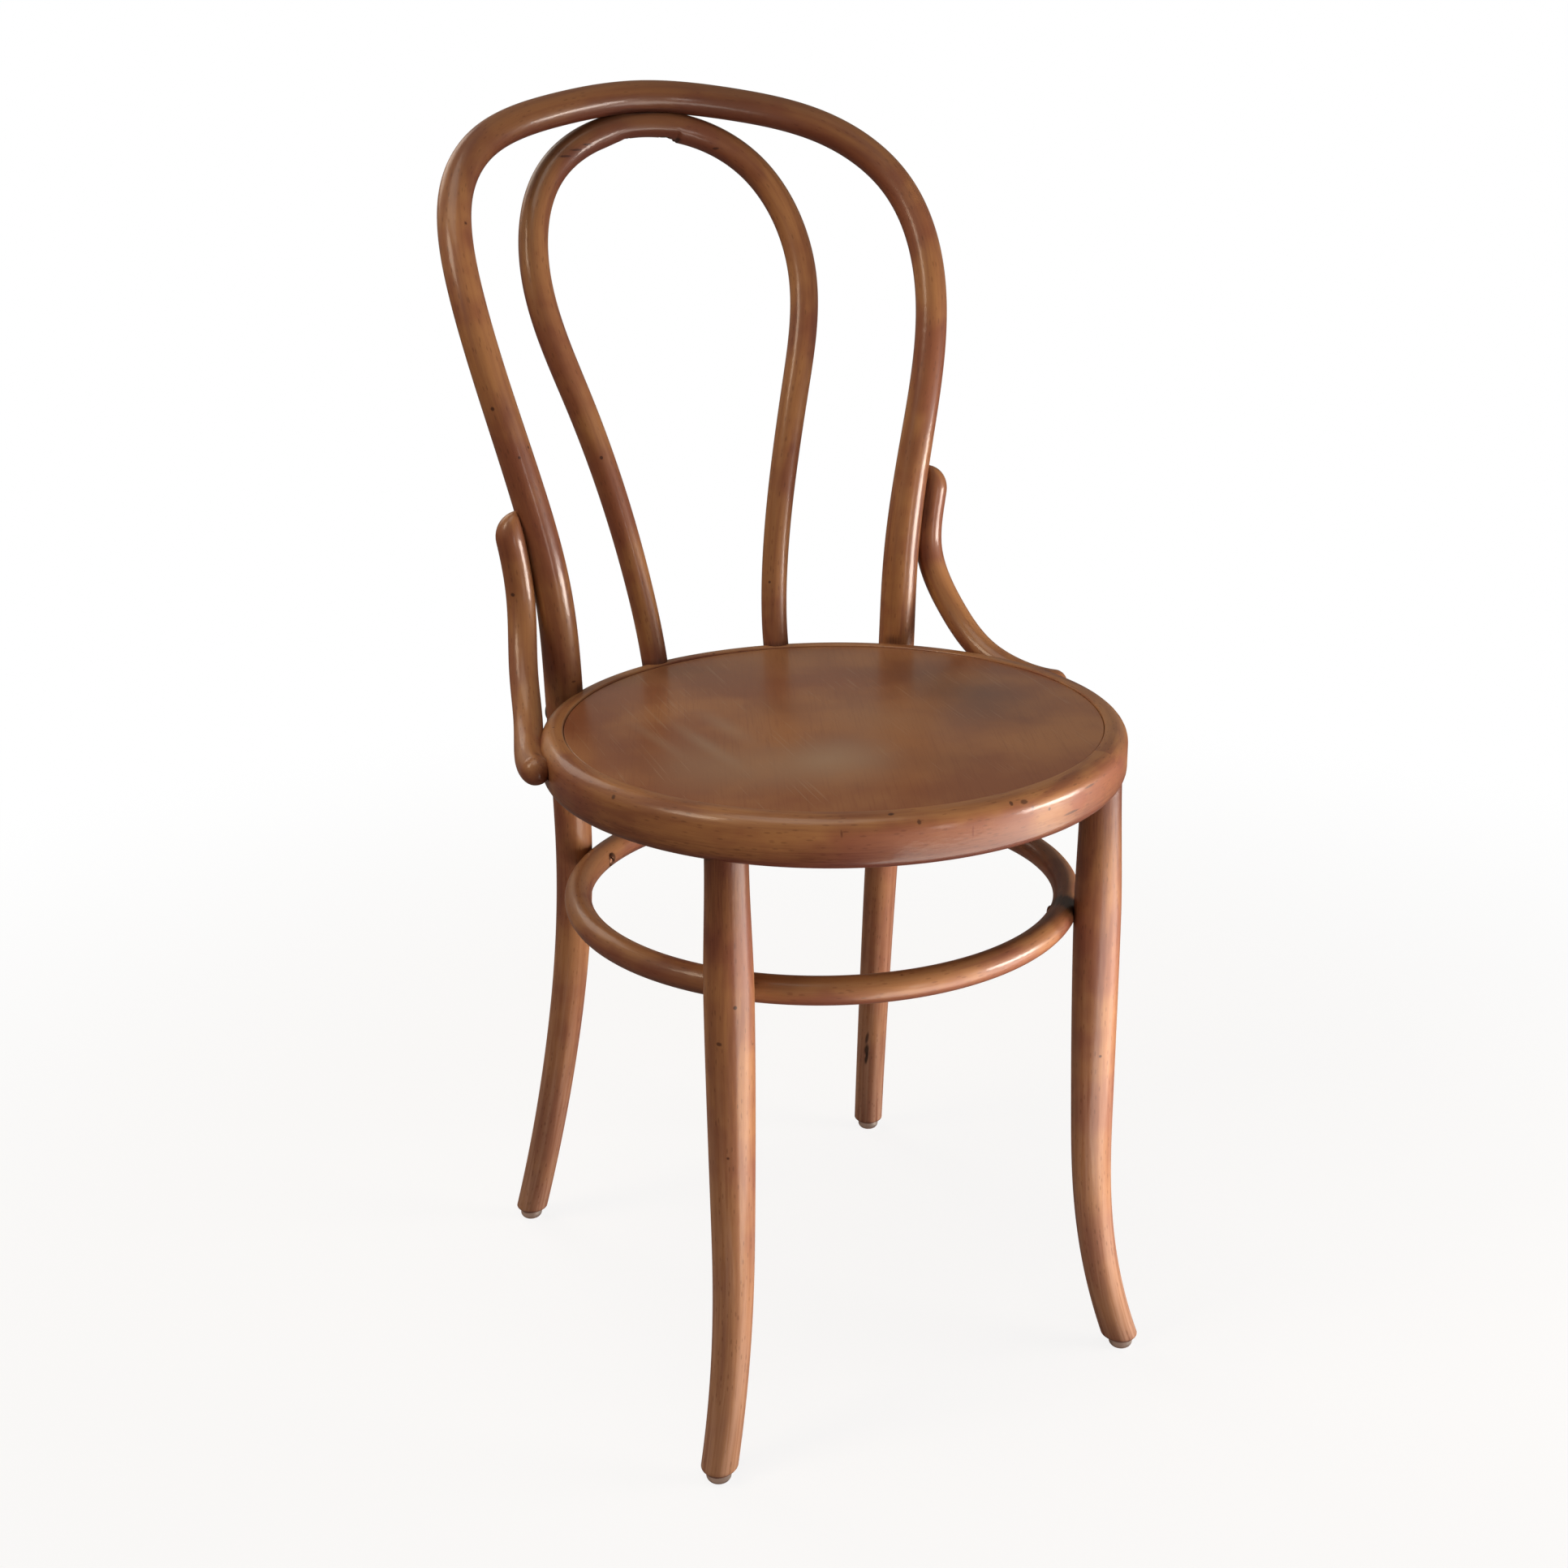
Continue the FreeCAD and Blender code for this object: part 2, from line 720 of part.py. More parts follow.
def screw_set(label, master, length, places):
    """Make the screws, holes and head flats of one kind at named pairs of a seat point and a direction."""
    screws = []
    holes = []
    spots = []
    for name, (seat, way) in places.items():
        screws.append(screw_at("%s_%s" % (label, name), master, seat, way))
        holes.append(screw_hole("%s_hole_%s" % (label, name), seat, way, length))
        spots.append(screw_spot("%s_spot_%s" % (label, name), seat, way))
    kinds = {"s": screws, "_holes": holes, "_spots": spots}
    return [grouped(label + ending, parts) for ending, parts in kinds.items()]


def pair_places(seat, way):
    """Return the left and the right place of one kind of screw."""
    return {"left": (seat, way), "right": (sided(seat, -1.0), sided(way, -1.0))}


def leg_ring_places():
    """Return the places of the screws that run from inside the leg ring outwards into the four legs."""
    reach = size("stretcher_radius") - size("stretcher_tube") + size("leg_ring_screw_sink")
    angles = {
        "rear_left": size("hoop_ring_angle"),
        "rear_right": -size("hoop_ring_angle"),
        "front_left": 180.0 - size("leg_ring_angle"),
        "front_right": size("leg_ring_angle") - 180.0,
    }
    places = {}
    for name, angle in angles.items():
        places[name] = (stretcher_center + polar(reach, angle, 0), polar(1.0, angle, 0))
    return places


def loop_screw_places():
    """Return the places of the two screws that run up through the loop's top into the hoop."""
    low = loop_edge.Length * 0.25
    high = loop_edge.Length * 0.5
    for _ in range(60):
        middle = (low + high) / 2.0
        point = point_at(loop_edge, middle)
        if point.x > size("loop_screw_x"):
            low = middle
        else:
            high = middle
    seat = point - UP * (size("loop_top_radius") - size("loop_screw_sink"))
    return pair_places(seat, UP)


def bracket_screw_places():
    """Return the places of the two screws that run from inside the seat ring into the brackets."""
    reach = ring_inner + size("short_screw_sink")
    seat = polar(reach, size("bracket_screw_angle"), seat_top - size("bracket_drop"))
    return pair_places(seat, polar(1.0, size("bracket_screw_angle"), 0))


def leg_screw_places():
    """Return the places of the two screws that run from inside the seat ring through the front tenons."""
    angle = 180.0 - size("leg_top_angle")
    seat = polar(ring_inner + size("short_screw_sink"), angle, ring_bottom + size("leg_tenon_depth") / 2.0)
    return pair_places(seat, polar(1.0, angle, 0))


# Side bracket

def bracket_radius(point):
    """Return the bracket's constant radius."""
    return size("bracket_tube")


def bracket_contact(rise, gap):
    """Return a point of the bracket's axis where it lies beside the upright, with a gap between them."""
    upright = at_height(hoop_edge, seat_top + rise, 0.5)
    reach = hoop_radius(upright) + size("bracket_tube") - size("bracket_saddle") + gap
    return upright + FreeCAD.Vector(reach, 0, 0)


def bracket_spine():
    """Run the left bracket from the upright forwards and down to the ring's side."""
    reach = seat_radius + size("bracket_tube") - size("bracket_ring_saddle")
    height = seat_top - size("bracket_drop")
    top = size("bracket_top_rise") + size("bracket_top_stock")
    leave = size("bracket_leave_rise")
    bend_height = seat_top + size("bracket_bend_rise")
    bend = FreeCAD.Vector(size("bracket_bend_x"), size("bracket_bend_y"), bend_height)
    land = height + size("bracket_land_rise")
    points = [
        bracket_contact(top, 0.0),
        bracket_contact((top + leave) / 2.0, 0.0),
        bracket_contact(leave, size("bracket_leave_gap")),
        bend,
        polar(reach + size("bracket_land_gap"), size("bracket_land_angle"), land),
        polar(reach - size("bracket_rest_press"), size("bracket_rest_angle"), height),
        polar(reach - size("bracket_end_press"), size("bracket_end_angle"), height),
    ]
    return through(points)


def bracket_rounding():
    """Make the tool that rounds the bracket's upper end over towards the upright."""
    middle = bracket_contact(size("bracket_top_rise") - 2.0 * size("bracket_tube"), 0.0)
    center = middle - FreeCAD.Vector(size("bracket_tube"), 0, 0)
    wide = "Sizes.bracket_tube * 4"
    block = cylinder("bracket_round_block", wide, wide, facing(center, UP))
    ball = doc.addObject("Part::Sphere", "bracket_round_ball")
    bind(ball, "Radius", "Sizes.bracket_tube * 2")
    ball.Placement.Base = center
    return cut("bracket_rounding", block, [ball])


def bracket_blank():
    """Loft the bracket along its spine, with a ball at its lower end and a rounded upper end."""
    rod = bent_rod("bracket_rod", bracket_edge, bracket_radius, size("short_spacing"))
    ball = doc.addObject("Part::Sphere", "bracket_ball")
    bind(ball, "Radius", "Sizes.bracket_tube")
    end = bracket_edge.LastParameter
    ball.Placement = facing(bracket_edge.valueAt(end), bracket_edge.tangentAt(end))
    return cut("bracket_blank", joined("bracket_rod_and_ball", [rod, ball]), [bracket_rounding()])


def dowel_start():
    """Return the inner end of the left dowel, half of which is in the upright and half in the bracket."""
    height = seat_top + (size("bracket_top_rise") + size("bracket_leave_rise")) / 2.0
    upright = at_height(hoop_edge, height, 0.5)
    face = upright.x + hoop_radius(upright) - size("bracket_saddle") / 2.0
    return FreeCAD.Vector(face - size("dowel_length") / 2.0, upright.y, height)


def bracket_dowel(name, side):
    """Make one dowel, hidden between upright and bracket."""
    place = facing(sided(dowel_start(), side), FreeCAD.Vector(side, 0, 0))
    return cylinder("bracket_dowel_%s" % name, "Sizes.dowel_radius", "Sizes.dowel_length", place)


def dowel_hole(name, side):
    """Make one dowel's hole, which is as long as the dowel and a little over."""
    way = FreeCAD.Vector(side, 0, 0)
    place = facing(sided(dowel_start(), side) - way * size("hole_clearance"), way)
    radius = "Sizes.dowel_radius + Sizes.hole_clearance"
    return cylinder("dowel_hole_%s" % name, radius, "Sizes.dowel_length + Sizes.hole_clearance * 2", place)


# Sockets and feet

def leg_socket(name, side):
    """Make the blind hole of one front leg's tenon in the ring's underside."""
    base = sided(leg_top_point() - UP * size("hole_lead"), side)
    depth = "Sizes.leg_tenon_depth + Sizes.hole_lead + Sizes.socket_end_gap"
    radius = "Sizes.leg_tenon_radius + Sizes.hole_clearance"
    return cylinder("leg_socket_%s" % name, radius, depth, facing(base, UP))


def loop_socket(name, side):
    """Make the hole of one end of the loop in the ring's top."""
    base = sided(loop_foot - UP * size("socket_end_gap"), side)
    depth = "Sizes.loop_tenon_depth + Sizes.hole_lead + Sizes.socket_end_gap"
    radius = "Sizes.loop_tenon_radius + Sizes.hole_clearance"
    return cylinder("loop_socket_%s" % name, radius, depth, facing(base, UP))


def foot_places():
    """Return the centre of each foot on the floor."""
    front = at_height(leg_edge, size("foot_height"), 1.0)
    rear = at_height(hoop_edge, size("foot_height"), 0.5)
    ground = {"front_left": front, "rear_left": rear}
    ground = {name: FreeCAD.Vector(point.x, point.y, 0) for name, point in ground.items()}
    ground["front_right"] = mirrored(ground["front_left"])
    ground["rear_right"] = mirrored(ground["rear_left"])
    return ground


def nail_hole(name, place):
    """Make the hole of a glide's nail in the end of a leg."""
    bore = facing(place + UP * (size("foot_height") - size("hole_lead")), UP)
    depth = "Sizes.nail_length + Sizes.hole_lead + Sizes.socket_end_gap"
    return cylinder("nail_hole_%s" % name, "Sizes.nail_radius + Sizes.hole_clearance", depth, bore)


def chair_set_back():
    """Return how far the middle of the whole chair lies behind the axis of its seat."""
    return (size("hoop_top_y") + size("hoop_top_radius") - seat_radius) / 2.0


UP = FreeCAD.Vector(0, 0, 1)
BOLT_HOLE_RADIUS = "Sizes.bolt_radius + Sizes.hole_clearance"
NOTCHES = "Sizes.seat_notch_in_hoop - Sizes.seat_notch_in_ring"
BOLT_GRIP = "Sizes.ring_width + Sizes.hoop_seat_radius * 2 - Sizes.bolt_seat_depth - " + NOTCHES
BOLT_LENGTH = BOLT_GRIP + " + Sizes.washer_thickness + Sizes.nut_height + Sizes.bolt_end"

fill_sheet()

# Places that several pieces share

seat_radius = size("seat_radius")
seat_top = size("seat_height")
ring_bottom = seat_top - size("ring_height")
ring_middle = (seat_top + ring_bottom) / 2.0
ring_inner = seat_radius - size("ring_width")
socket_reach = size("panel_radius") + size("panel_clearance") + size("loop_socket_gap")
loop_socket_circle = socket_reach + size("loop_foot_radius")
stretcher_height = size("stretcher_height")
stretcher_center = FreeCAD.Vector(0, size("stretcher_center_y"), stretcher_height)
stretcher_reach = size("stretcher_radius") + size("stretcher_tube") - size("stretcher_saddle")

hoop_edge = hoop_spine()
loop_edge = loop_spine()
leg_edge = leg_spine()
bracket_edge = bracket_spine()

seat_point = hoop_seat_point()
bolt_way = FreeCAD.Vector(-seat_point.x, -seat_point.y, 0).normalize()
bolt_seat = seat_point - bolt_way * (size("hoop_seat_radius") - size("bolt_seat_depth"))
washer_seat = polar(ring_inner, size("hoop_seat_angle"), ring_middle)
nut_seat = washer_seat + bolt_way * size("washer_thickness")
loop_foot = polar(loop_socket_circle, size("loop_socket_angle"), seat_top - size("loop_tenon_depth"))

# Whole rods: the hoop and the loop are made as their left halves, up to the middle of the top

hoop_middle = hoop_edge.Length / 2.0
loop_middle = loop_edge.Length / 2.0
hoop_half = bent_rod("hoop_half", hoop_edge, hoop_radius, size("long_spacing"), 0.0, hoop_middle)
loop_half = bent_rod("loop_half", loop_edge, loop_radius, size("loop_spacing"), 0.0, loop_middle)
leg_rod = bent_rod("leg_rod", leg_edge, leg_radius, size("long_spacing"))

# Short stretches of the rods, which shape the pieces that lie against them

beside_seat = (ring_bottom - size("seat_stretch"), seat_top + size("seat_stretch"))
beside_ring = (stretcher_height - size("leg_stretch"), stretcher_height + size("leg_stretch"))
beside_bracket = (
    seat_top + size("bracket_leave_rise") - size("bracket_stretch_low"),
    seat_top + size("bracket_top_rise") + size("bracket_stretch_high"),
)
upright_at_seat = rod_stretch("upright_at_seat", hoop_edge, hoop_radius, beside_seat, 0.5)
rear_leg_at_ring = rod_stretch("rear_leg_at_ring", hoop_edge, hoop_radius, beside_ring, 0.5)
front_leg_at_ring = rod_stretch("front_leg_at_ring", leg_edge, leg_radius, beside_ring, 1.0)
upright_at_bracket = rod_stretch("upright_at_bracket", hoop_edge, hoop_radius, beside_bracket, 0.5)
hoop_at_top = bent_rod(
    "hoop_at_top", hoop_edge, hoop_radius, size("short_spacing"),
    hoop_middle - size("top_stretch_left"), hoop_middle + size("top_stretch_right"))

# Blanks

ring_blank = seat_ring_blank()
panel = seat_panel()
bracket_solid = bracket_blank()
stretcher_blank = doc.addObject("Part::Torus", "stretcher_blank")
bind(stretcher_blank, "Radius1", "Sizes.stretcher_radius")
bind(stretcher_blank, "Radius2", "Sizes.stretcher_tube")
stretcher_blank.Placement.Base = stretcher_center
leg_tenon = cylinder(
    "leg_tenon", "Sizes.leg_tenon_radius", "Sizes.leg_tenon_depth", facing(leg_top_point(), UP))
loop_tenon = cylinder(
    "loop_tenon", "Sizes.loop_tenon_radius", "Sizes.loop_tenon_depth", facing(loop_foot, UP))

# Fixings and their holes

rear_bolts = grouped("rear_leg_bolts", both_sides(rear_bolt))
rear_washers = grouped("rear_leg_washers", both_sides(rear_washer))
rear_nuts = grouped("rear_leg_nuts", both_sides(rear_nut))
bolt_holes = grouped("bolt_holes", both_sides(bolt_hole))
bolt_spots = grouped("bolt_spots", both_sides(bolt_spot))
washer_spots = grouped("washer_spots", both_sides(washer_spot))

long_screw = screw_master("long_screw", "screw_length")
loop_screw = screw_master("loop_screw", "loop_screw_length")
short_screw = screw_master("short_screw", "short_screw_length")
leg_ring_screws, leg_ring_holes, leg_ring_spots = screw_set(
    "leg_ring_screw", long_screw, "screw_length", leg_ring_places())
inner_loop_screws, inner_loop_holes, inner_loop_spots = screw_set(
    "inner_loop_screw", loop_screw, "loop_screw_length", loop_screw_places())
bracket_screws, bracket_screw_holes, bracket_screw_spots = screw_set(
    "bracket_screw", short_screw, "short_screw_length", bracket_screw_places())
leg_screws, leg_screw_holes, leg_screw_spots = screw_set(
    "front_leg_screw", short_screw, "short_screw_length", leg_screw_places())

bracket_dowels = grouped("bracket_dowels", both_sides(bracket_dowel))
dowel_holes = grouped("dowel_holes", both_sides(dowel_hole))
leg_sockets = grouped("leg_sockets", both_sides(leg_socket))
loop_sockets = grouped("loop_sockets", both_sides(loop_socket))

glide = glide_master()
glides = {}
nail_holes = {}
for name, place in foot_places().items():
    glides[name] = copy_of("foot_glide_%s" % name, glide, FreeCAD.Placement(place, FreeCAD.Rotation()))
    nail_holes[name] = nail_hole(name, place)

# Back hoop: the left half is cut to shape and joined with its mirror image

rear_trim = foot_trimmer("rear_trim", foot_places()["rear_left"], size("hoop_foot_radius"))
hoop_tools = [
    seat_notch("left", 1.0), rear_trim, nail_holes["rear_left"], bolt_holes, bolt_spots,
    leg_ring_holes, inner_loop_holes, dowel_holes,
]
left_hoop = cut("left_hoop", hoop_half, hoop_tools)
back_hoop = joined("back_hoop", [left_hoop, mirror_of("right_hoop", left_hoop)])

# Front legs

front_trim = foot_trimmer("front_trim", foot_places()["front_left"], size("leg_foot_radius"))
leg_shaft = cut("leg_shaft", leg_rod, [ring_blank, front_trim])
leg_solid = joined("leg_solid", [leg_shaft, leg_tenon])
leg_tools = [nail_holes["front_left"], leg_ring_holes, leg_screw_holes]
front_leg_left = cut("front_leg_left", leg_solid, leg_tools)
front_leg_right = mirror_of("front_leg_right", front_leg_left)

# Inner loop: drilled first, then coped over the ring and under the hoop

drilled_loop = cut("drilled_loop", loop_half, [inner_loop_holes, inner_loop_spots])
loop_shaft = cut("loop_shaft", drilled_loop, [ring_blank, hoop_at_top])
left_loop = joined("left_loop", [loop_shaft, loop_tenon])
inner_loop = joined("inner_loop", [left_loop, mirror_of("right_loop", left_loop)])

# Seat ring, leg ring and brackets

notched_upright = cut("notched_upright", upright_at_seat, [seat_notch("tool", 1.0)])
notched_upright_right = mirror_of("notched_upright_right", notched_upright)
ring_tools = [
    notched_upright, notched_upright_right, leg_sockets, loop_sockets, bolt_holes, washer_spots,
    bracket_screw_holes, bracket_screw_spots, leg_screw_holes, leg_screw_spots,
]
seat_ring = cut("seat_ring", ring_blank, ring_tools)

leg_stretches = [rear_leg_at_ring, front_leg_at_ring]
leg_stretches.append(mirror_of("rear_leg_at_ring_right", rear_leg_at_ring))
leg_stretches.append(mirror_of("front_leg_at_ring_right", front_leg_at_ring))
leg_ring = cut("leg_ring", stretcher_blank, leg_stretches + [leg_ring_holes, leg_ring_spots])

bracket_tools = [upright_at_bracket, ring_blank, dowel_holes, bracket_screw_holes]
side_bracket_left = cut("side_bracket_left", bracket_solid, bracket_tools)
side_bracket_right = mirror_of("side_bracket_right", side_bracket_left)

# Nodes

NODES = {
    "back_hoop": back_hoop,
    "inner_loop": inner_loop,
    "seat_ring": seat_ring,
    "seat_panel": panel,
    "front_leg_left": front_leg_left,
    "front_leg_right": front_leg_right,
    "leg_ring": leg_ring,
    "side_bracket_left": side_bracket_left,
    "side_bracket_right": side_bracket_right,
    "rear_leg_bolts": rear_bolts,
    "rear_leg_washers": rear_washers,
    "rear_leg_nuts": rear_nuts,
    "leg_ring_screws": leg_ring_screws,
    "inner_loop_screws": inner_loop_screws,
    "bracket_screws": bracket_screws,
    "bracket_dowels": bracket_dowels,
    "front_leg_screws": leg_screws,
}
for name, glide_link in glides.items():
    NODES["foot_glide_%s" % name] = glide_link


def export_nodes():
    """Check every object, and write each node, moved by the set-back, to its own STEP file."""
    doc.recompute()
    for item in doc.Objects:
        if "Invalid" in item.State or "Error" in item.State:
            raise RuntimeError("%s did not build" % item.Name)
    os.makedirs("parts", exist_ok=True)
    for name, item in NODES.items():
        item.Label = name
        shape = Part.getShape(item).copy()
        shape.translate(FreeCAD.Vector(0, -chair_set_back(), 0))
        if shape.isNull() or not shape.isValid():
            raise RuntimeError("%s has no valid shape" % name)
        shape.exportStep("parts/%s.step" % name)
        print(name, len(shape.Solids), round(shape.Volume / 1000.0, 2), "cm3", shape.BoundBox)


export_nodes()
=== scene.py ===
import logging
import math
from dataclasses import dataclass, field, replace
from enum import Enum
from typing import Callable, Sequence

import bmesh
import bpy
import numpy as np
from bpy.types import Material, Mesh, NodeSocket, NodeTree, Object
from mathutils import Matrix, Quaternion, Vector


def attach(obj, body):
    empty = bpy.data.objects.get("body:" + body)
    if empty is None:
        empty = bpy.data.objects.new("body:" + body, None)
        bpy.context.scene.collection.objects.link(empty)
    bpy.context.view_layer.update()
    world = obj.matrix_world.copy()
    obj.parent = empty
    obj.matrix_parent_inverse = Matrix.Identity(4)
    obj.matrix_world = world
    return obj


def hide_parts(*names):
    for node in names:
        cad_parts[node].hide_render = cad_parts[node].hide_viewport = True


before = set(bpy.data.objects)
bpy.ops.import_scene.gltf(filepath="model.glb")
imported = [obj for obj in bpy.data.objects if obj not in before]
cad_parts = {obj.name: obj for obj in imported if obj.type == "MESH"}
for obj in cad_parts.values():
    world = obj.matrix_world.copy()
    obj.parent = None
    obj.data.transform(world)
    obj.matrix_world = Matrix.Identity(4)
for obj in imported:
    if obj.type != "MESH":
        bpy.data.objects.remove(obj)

# Bentwood bistro chair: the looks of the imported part, in metres, +Z up, the sitter facing -Y.
# Sizes are written in millimetres, as a chair maker gives them, from the floor below the seat's centre;
# placed() turns them to metres and moves them to the part's frame, whose origin is below its box's middle.


MM = 0.001
SET_BACK = 52.8
AXIS = np.array([0.0, SET_BACK, 0.0])
ROD_SPACE = "rod_space"
SPLINE_STEPS = 240  # how finely each stretch of a bent line is walked
END_STEPS = 8  # how many of those steps give the way in which a line leaves its end
SHARP_EDGE = 35.0  # degrees from which an edge is a real one
Point = tuple[float, float, float]
logging.basicConfig(level=logging.INFO, format="%(name)s: %(message)s")
log = logging.getLogger("bistro_chair")


class Side(Enum):
    """The two sides of the chair; the value is the sign of X."""

    LEFT = 1.0
    RIGHT = -1.0


# Small helpers


def linear(hex_colour: str) -> tuple[float, float, float, float]:
    """Turn an sRGB hex colour into the linear values that a shader takes.

    Args:
        hex_colour: Six hex digits with a leading #.

    Returns:
        Linear red, green, blue and an alpha of 1.
    """
    values = []
    for start in (1, 3, 5):
        share = int(hex_colour[start:start + 2], 16) / 255.0
        values.append(share / 12.92 if share <= 0.04045 else ((share + 0.055) / 1.055) ** 2.4)
    return (values[0], values[1], values[2], 1.0)


def smooth(ratio: np.ndarray | float) -> np.ndarray | float:
    """Return a soft step from 0 to 1."""
    ratio = np.clip(ratio, 0.0, 1.0)
    return ratio * ratio * (3.0 - 2.0 * ratio)


def polar(radius: float, angle: float, height: float) -> np.ndarray:
    """Return a point on a circle round the chair's axis.

    Args:
        radius: Distance from the axis, in mm.
        angle: Degrees from +Y towards +X.
        height: Height above the floor, in mm.

    Returns:
        The point, in mm.
    """
    turn = math.radians(angle)
    return np.array([radius * math.sin(turn), radius * math.cos(turn), height])


def placed(points: np.ndarray) -> np.ndarray:
    """Turn millimetres from the seat's centre into metres in the part's frame."""
    return (np.asarray(points, float) - AXIS) * MM


def feed(tree: NodeTree, socket: NodeSocket, value: object) -> None:
    """Link a socket to another one, or set its own value.

    Args:
        tree: The node tree.
        socket: The input.
        value: The socket to link, or the value to set.
    """
    if isinstance(value, NodeSocket):
        tree.links.new(value, socket)
    else:
        socket.default_value = value


def add(tree: NodeTree, kind: str, inputs: dict | None = None, output: int | str = 0,
        **settings: object) -> NodeSocket | None:
    """Add a node with its settings, and link or set its inputs.

    Args:
        tree: The node tree that takes the node.
        kind: The node's type name.
        inputs: For each input's name or number, a socket to link or a value to set.
        output: The name or number of the output to return.
        settings: Properties of the node.

    Returns:
        The output, if the node has any.
    """
    node = tree.nodes.new(kind)
    for name, value in settings.items():
        setattr(node, name, value)
    for name, value in (inputs or {}).items():
        feed(tree, node.inputs[name], value)
    return node.outputs[output] if len(node.outputs) else None


# Lines and meshes


@dataclass
class BentLine:
    """A smooth line through knots, the axis of a bent rod.

    The line is the cubic spline with chord-length steps whose end slopes come from its first and last four
    knots, which is the line that the solids are lofted along.
    """

    knots: np.ndarray
    places: np.ndarray = field(init=False)
    lengths: np.ndarray = field(init=False)

    def __post_init__(self) -> None:
        """Walk the spline in small steps and measure its length."""
        knots = np.asarray(self.knots, float)
        steps = np.linalg.norm(np.diff(knots, axis=0), axis=1)
        times = np.concatenate([[0.0], np.cumsum(steps)])
        slopes = self._slopes(knots, times, steps)
        parts = []
        for index, step in enumerate(steps):
            share = np.linspace(0.0, 1.0, SPLINE_STEPS, endpoint=index == len(steps) - 1)[:, None]
            start, end = knots[index], knots[index + 1]
            out, into = slopes[index] * step, slopes[index + 1] * step
            square, cube = share ** 2, share ** 3
            parts.append((2 * cube - 3 * square + 1) * start + (cube - 2 * square + share) * out
                         + (3 * square - 2 * cube) * end + (cube - square) * into)
        self.places = np.concatenate(parts)
        runs = np.linalg.norm(np.diff(self.places, axis=0), axis=1)
        self.lengths = np.concatenate([[0.0], np.cumsum(runs)])

    @staticmethod
    def _slopes(knots: np.ndarray, times: np.ndarray, steps: np.ndarray) -> np.ndarray:
        """Solve for the slope at each knot.

        Args:
            knots: The points that the line goes through.
            times: The spline's parameter at each knot.
            steps: The parameter's growth between knots.

        Returns:
            One slope for each knot.
        """
        count = len(knots)
        matrix = np.zeros((count, count))
        right = np.zeros((count, 3))
        for row, ends in ((0, slice(0, 4)), (count - 1, slice(count - 4, count))):
            powers = np.vander(times[ends] - times[row], 4, increasing=True)
            matrix[row, row] = 1.0
            right[row] = np.linalg.solve(powers, knots[ends])[1]
        for row in range(1, count - 1):
            before, after = steps[row - 1], steps[row]
            matrix[row, row - 1:row + 2] = (1.0 / before, 2.0 / before + 2.0 / after, 1.0 / after)
            right[row] = 3.0 * ((knots[row] - knots[row - 1]) / before ** 2
                                + (knots[row + 1] - knots[row]) / after ** 2)
        return np.linalg.solve(matrix, right)

    @property
    def length(self) -> float:
        """The whole length, in mm."""
        return float(self.lengths[-1])

    def at(self, lengths: np.ndarray) -> np.ndarray:
        """Return the points at the given lengths along the line.

        Args:
            lengths: Lengths from the start, in mm; beyond the ends the line goes straight on.

        Returns:
            One point for each length.
        """
        lengths = np.asarray(lengths, float)
        points = np.stack([np.interp(lengths, self.lengths, self.places[:, axis]) for axis in range(3)],
                          axis=1)
        for end, near, over in ((0, END_STEPS, np.minimum(lengths, 0.0)),
                                (-1, -1 - END_STEPS, np.maximum(lengths - self.length, 0.0))):
            run = self.lengths[end] - self.lengths[near]
            slope = (self.places[end] - self.places[near]) / run
            points += over[:, None] * slope
        return points

    def length_at_height(self, height: float, last_share: float = 0.5) -> float:
        """Return the length at which the rising first part of the line reaches a height.

        Args:
            height: Height above the floor, in mm.
            last_share: The share of the line that rises.

        Returns:
            The length from the start, in mm.
        """
        last = int(np.searchsorted(self.lengths, self.length * last_share))
        return float(np.interp(height, self.places[:last, 2], self.lengths[:last]))


def mirrored(points: np.ndarray) -> np.ndarray:
    """Return points on the other side of the chair."""
    return np.asarray(points) * np.array([-1.0, 1.0, 1.0])


def new_mesh_object(name: str, points: np.ndarray, faces: Sequence[Sequence[int]]) -> Object:
    """Make an object at the origin from points in millimetres.

    Args:
        name: The object's name.
        points: Corner points, in mm.
        faces: Corner numbers of each face.

    Returns:
        The linked object.
    """
    mesh = bpy.data.meshes.new(name)
    mesh.from_pydata(placed(points).tolist(), [], [list(face) for face in faces])
    made = bpy.data.objects.new(name, mesh)
    bpy.context.scene.collection.objects.link(made)
    return made


def finish_mesh(piece: Object) -> Object:
    """Smooth a piece's shading, with its real edges kept sharp.

    Args:
        piece: The piece.

    Returns:
        The same piece.
    """
    piece.data.polygons.foreach_set("use_smooth", [True] * len(piece.data.polygons))
    piece.data.set_sharp_from_angle(angle=math.radians(SHARP_EDGE))
    return piece


def write_values(mesh: Mesh, name: str, values: np.ndarray, domain: str = "POINT") -> None:
    """Write a number or a vector on each point or corner of a mesh.

    Args:
        mesh: The mesh.
        name: The attribute's name.
        values: One row for each point or corner.
        domain: POINT or CORNER.
    """
    values = np.asarray(values, np.float32)
    kind, key = ("FLOAT_VECTOR", "vector") if values.ndim > 1 else ("FLOAT", "value")
    mesh.attributes.new(name, kind, domain).data.foreach_set(key, values.ravel())


def make_outward(piece: Object) -> None:
    """Turn every face of a closed piece outwards.

    Args:
        piece: The piece.
    """
    shell = bmesh.new()
    shell.from_mesh(piece.data)
    bmesh.ops.recalc_face_normals(shell, faces=shell.faces)
    shell.to_mesh(piece.data)
    shell.free()


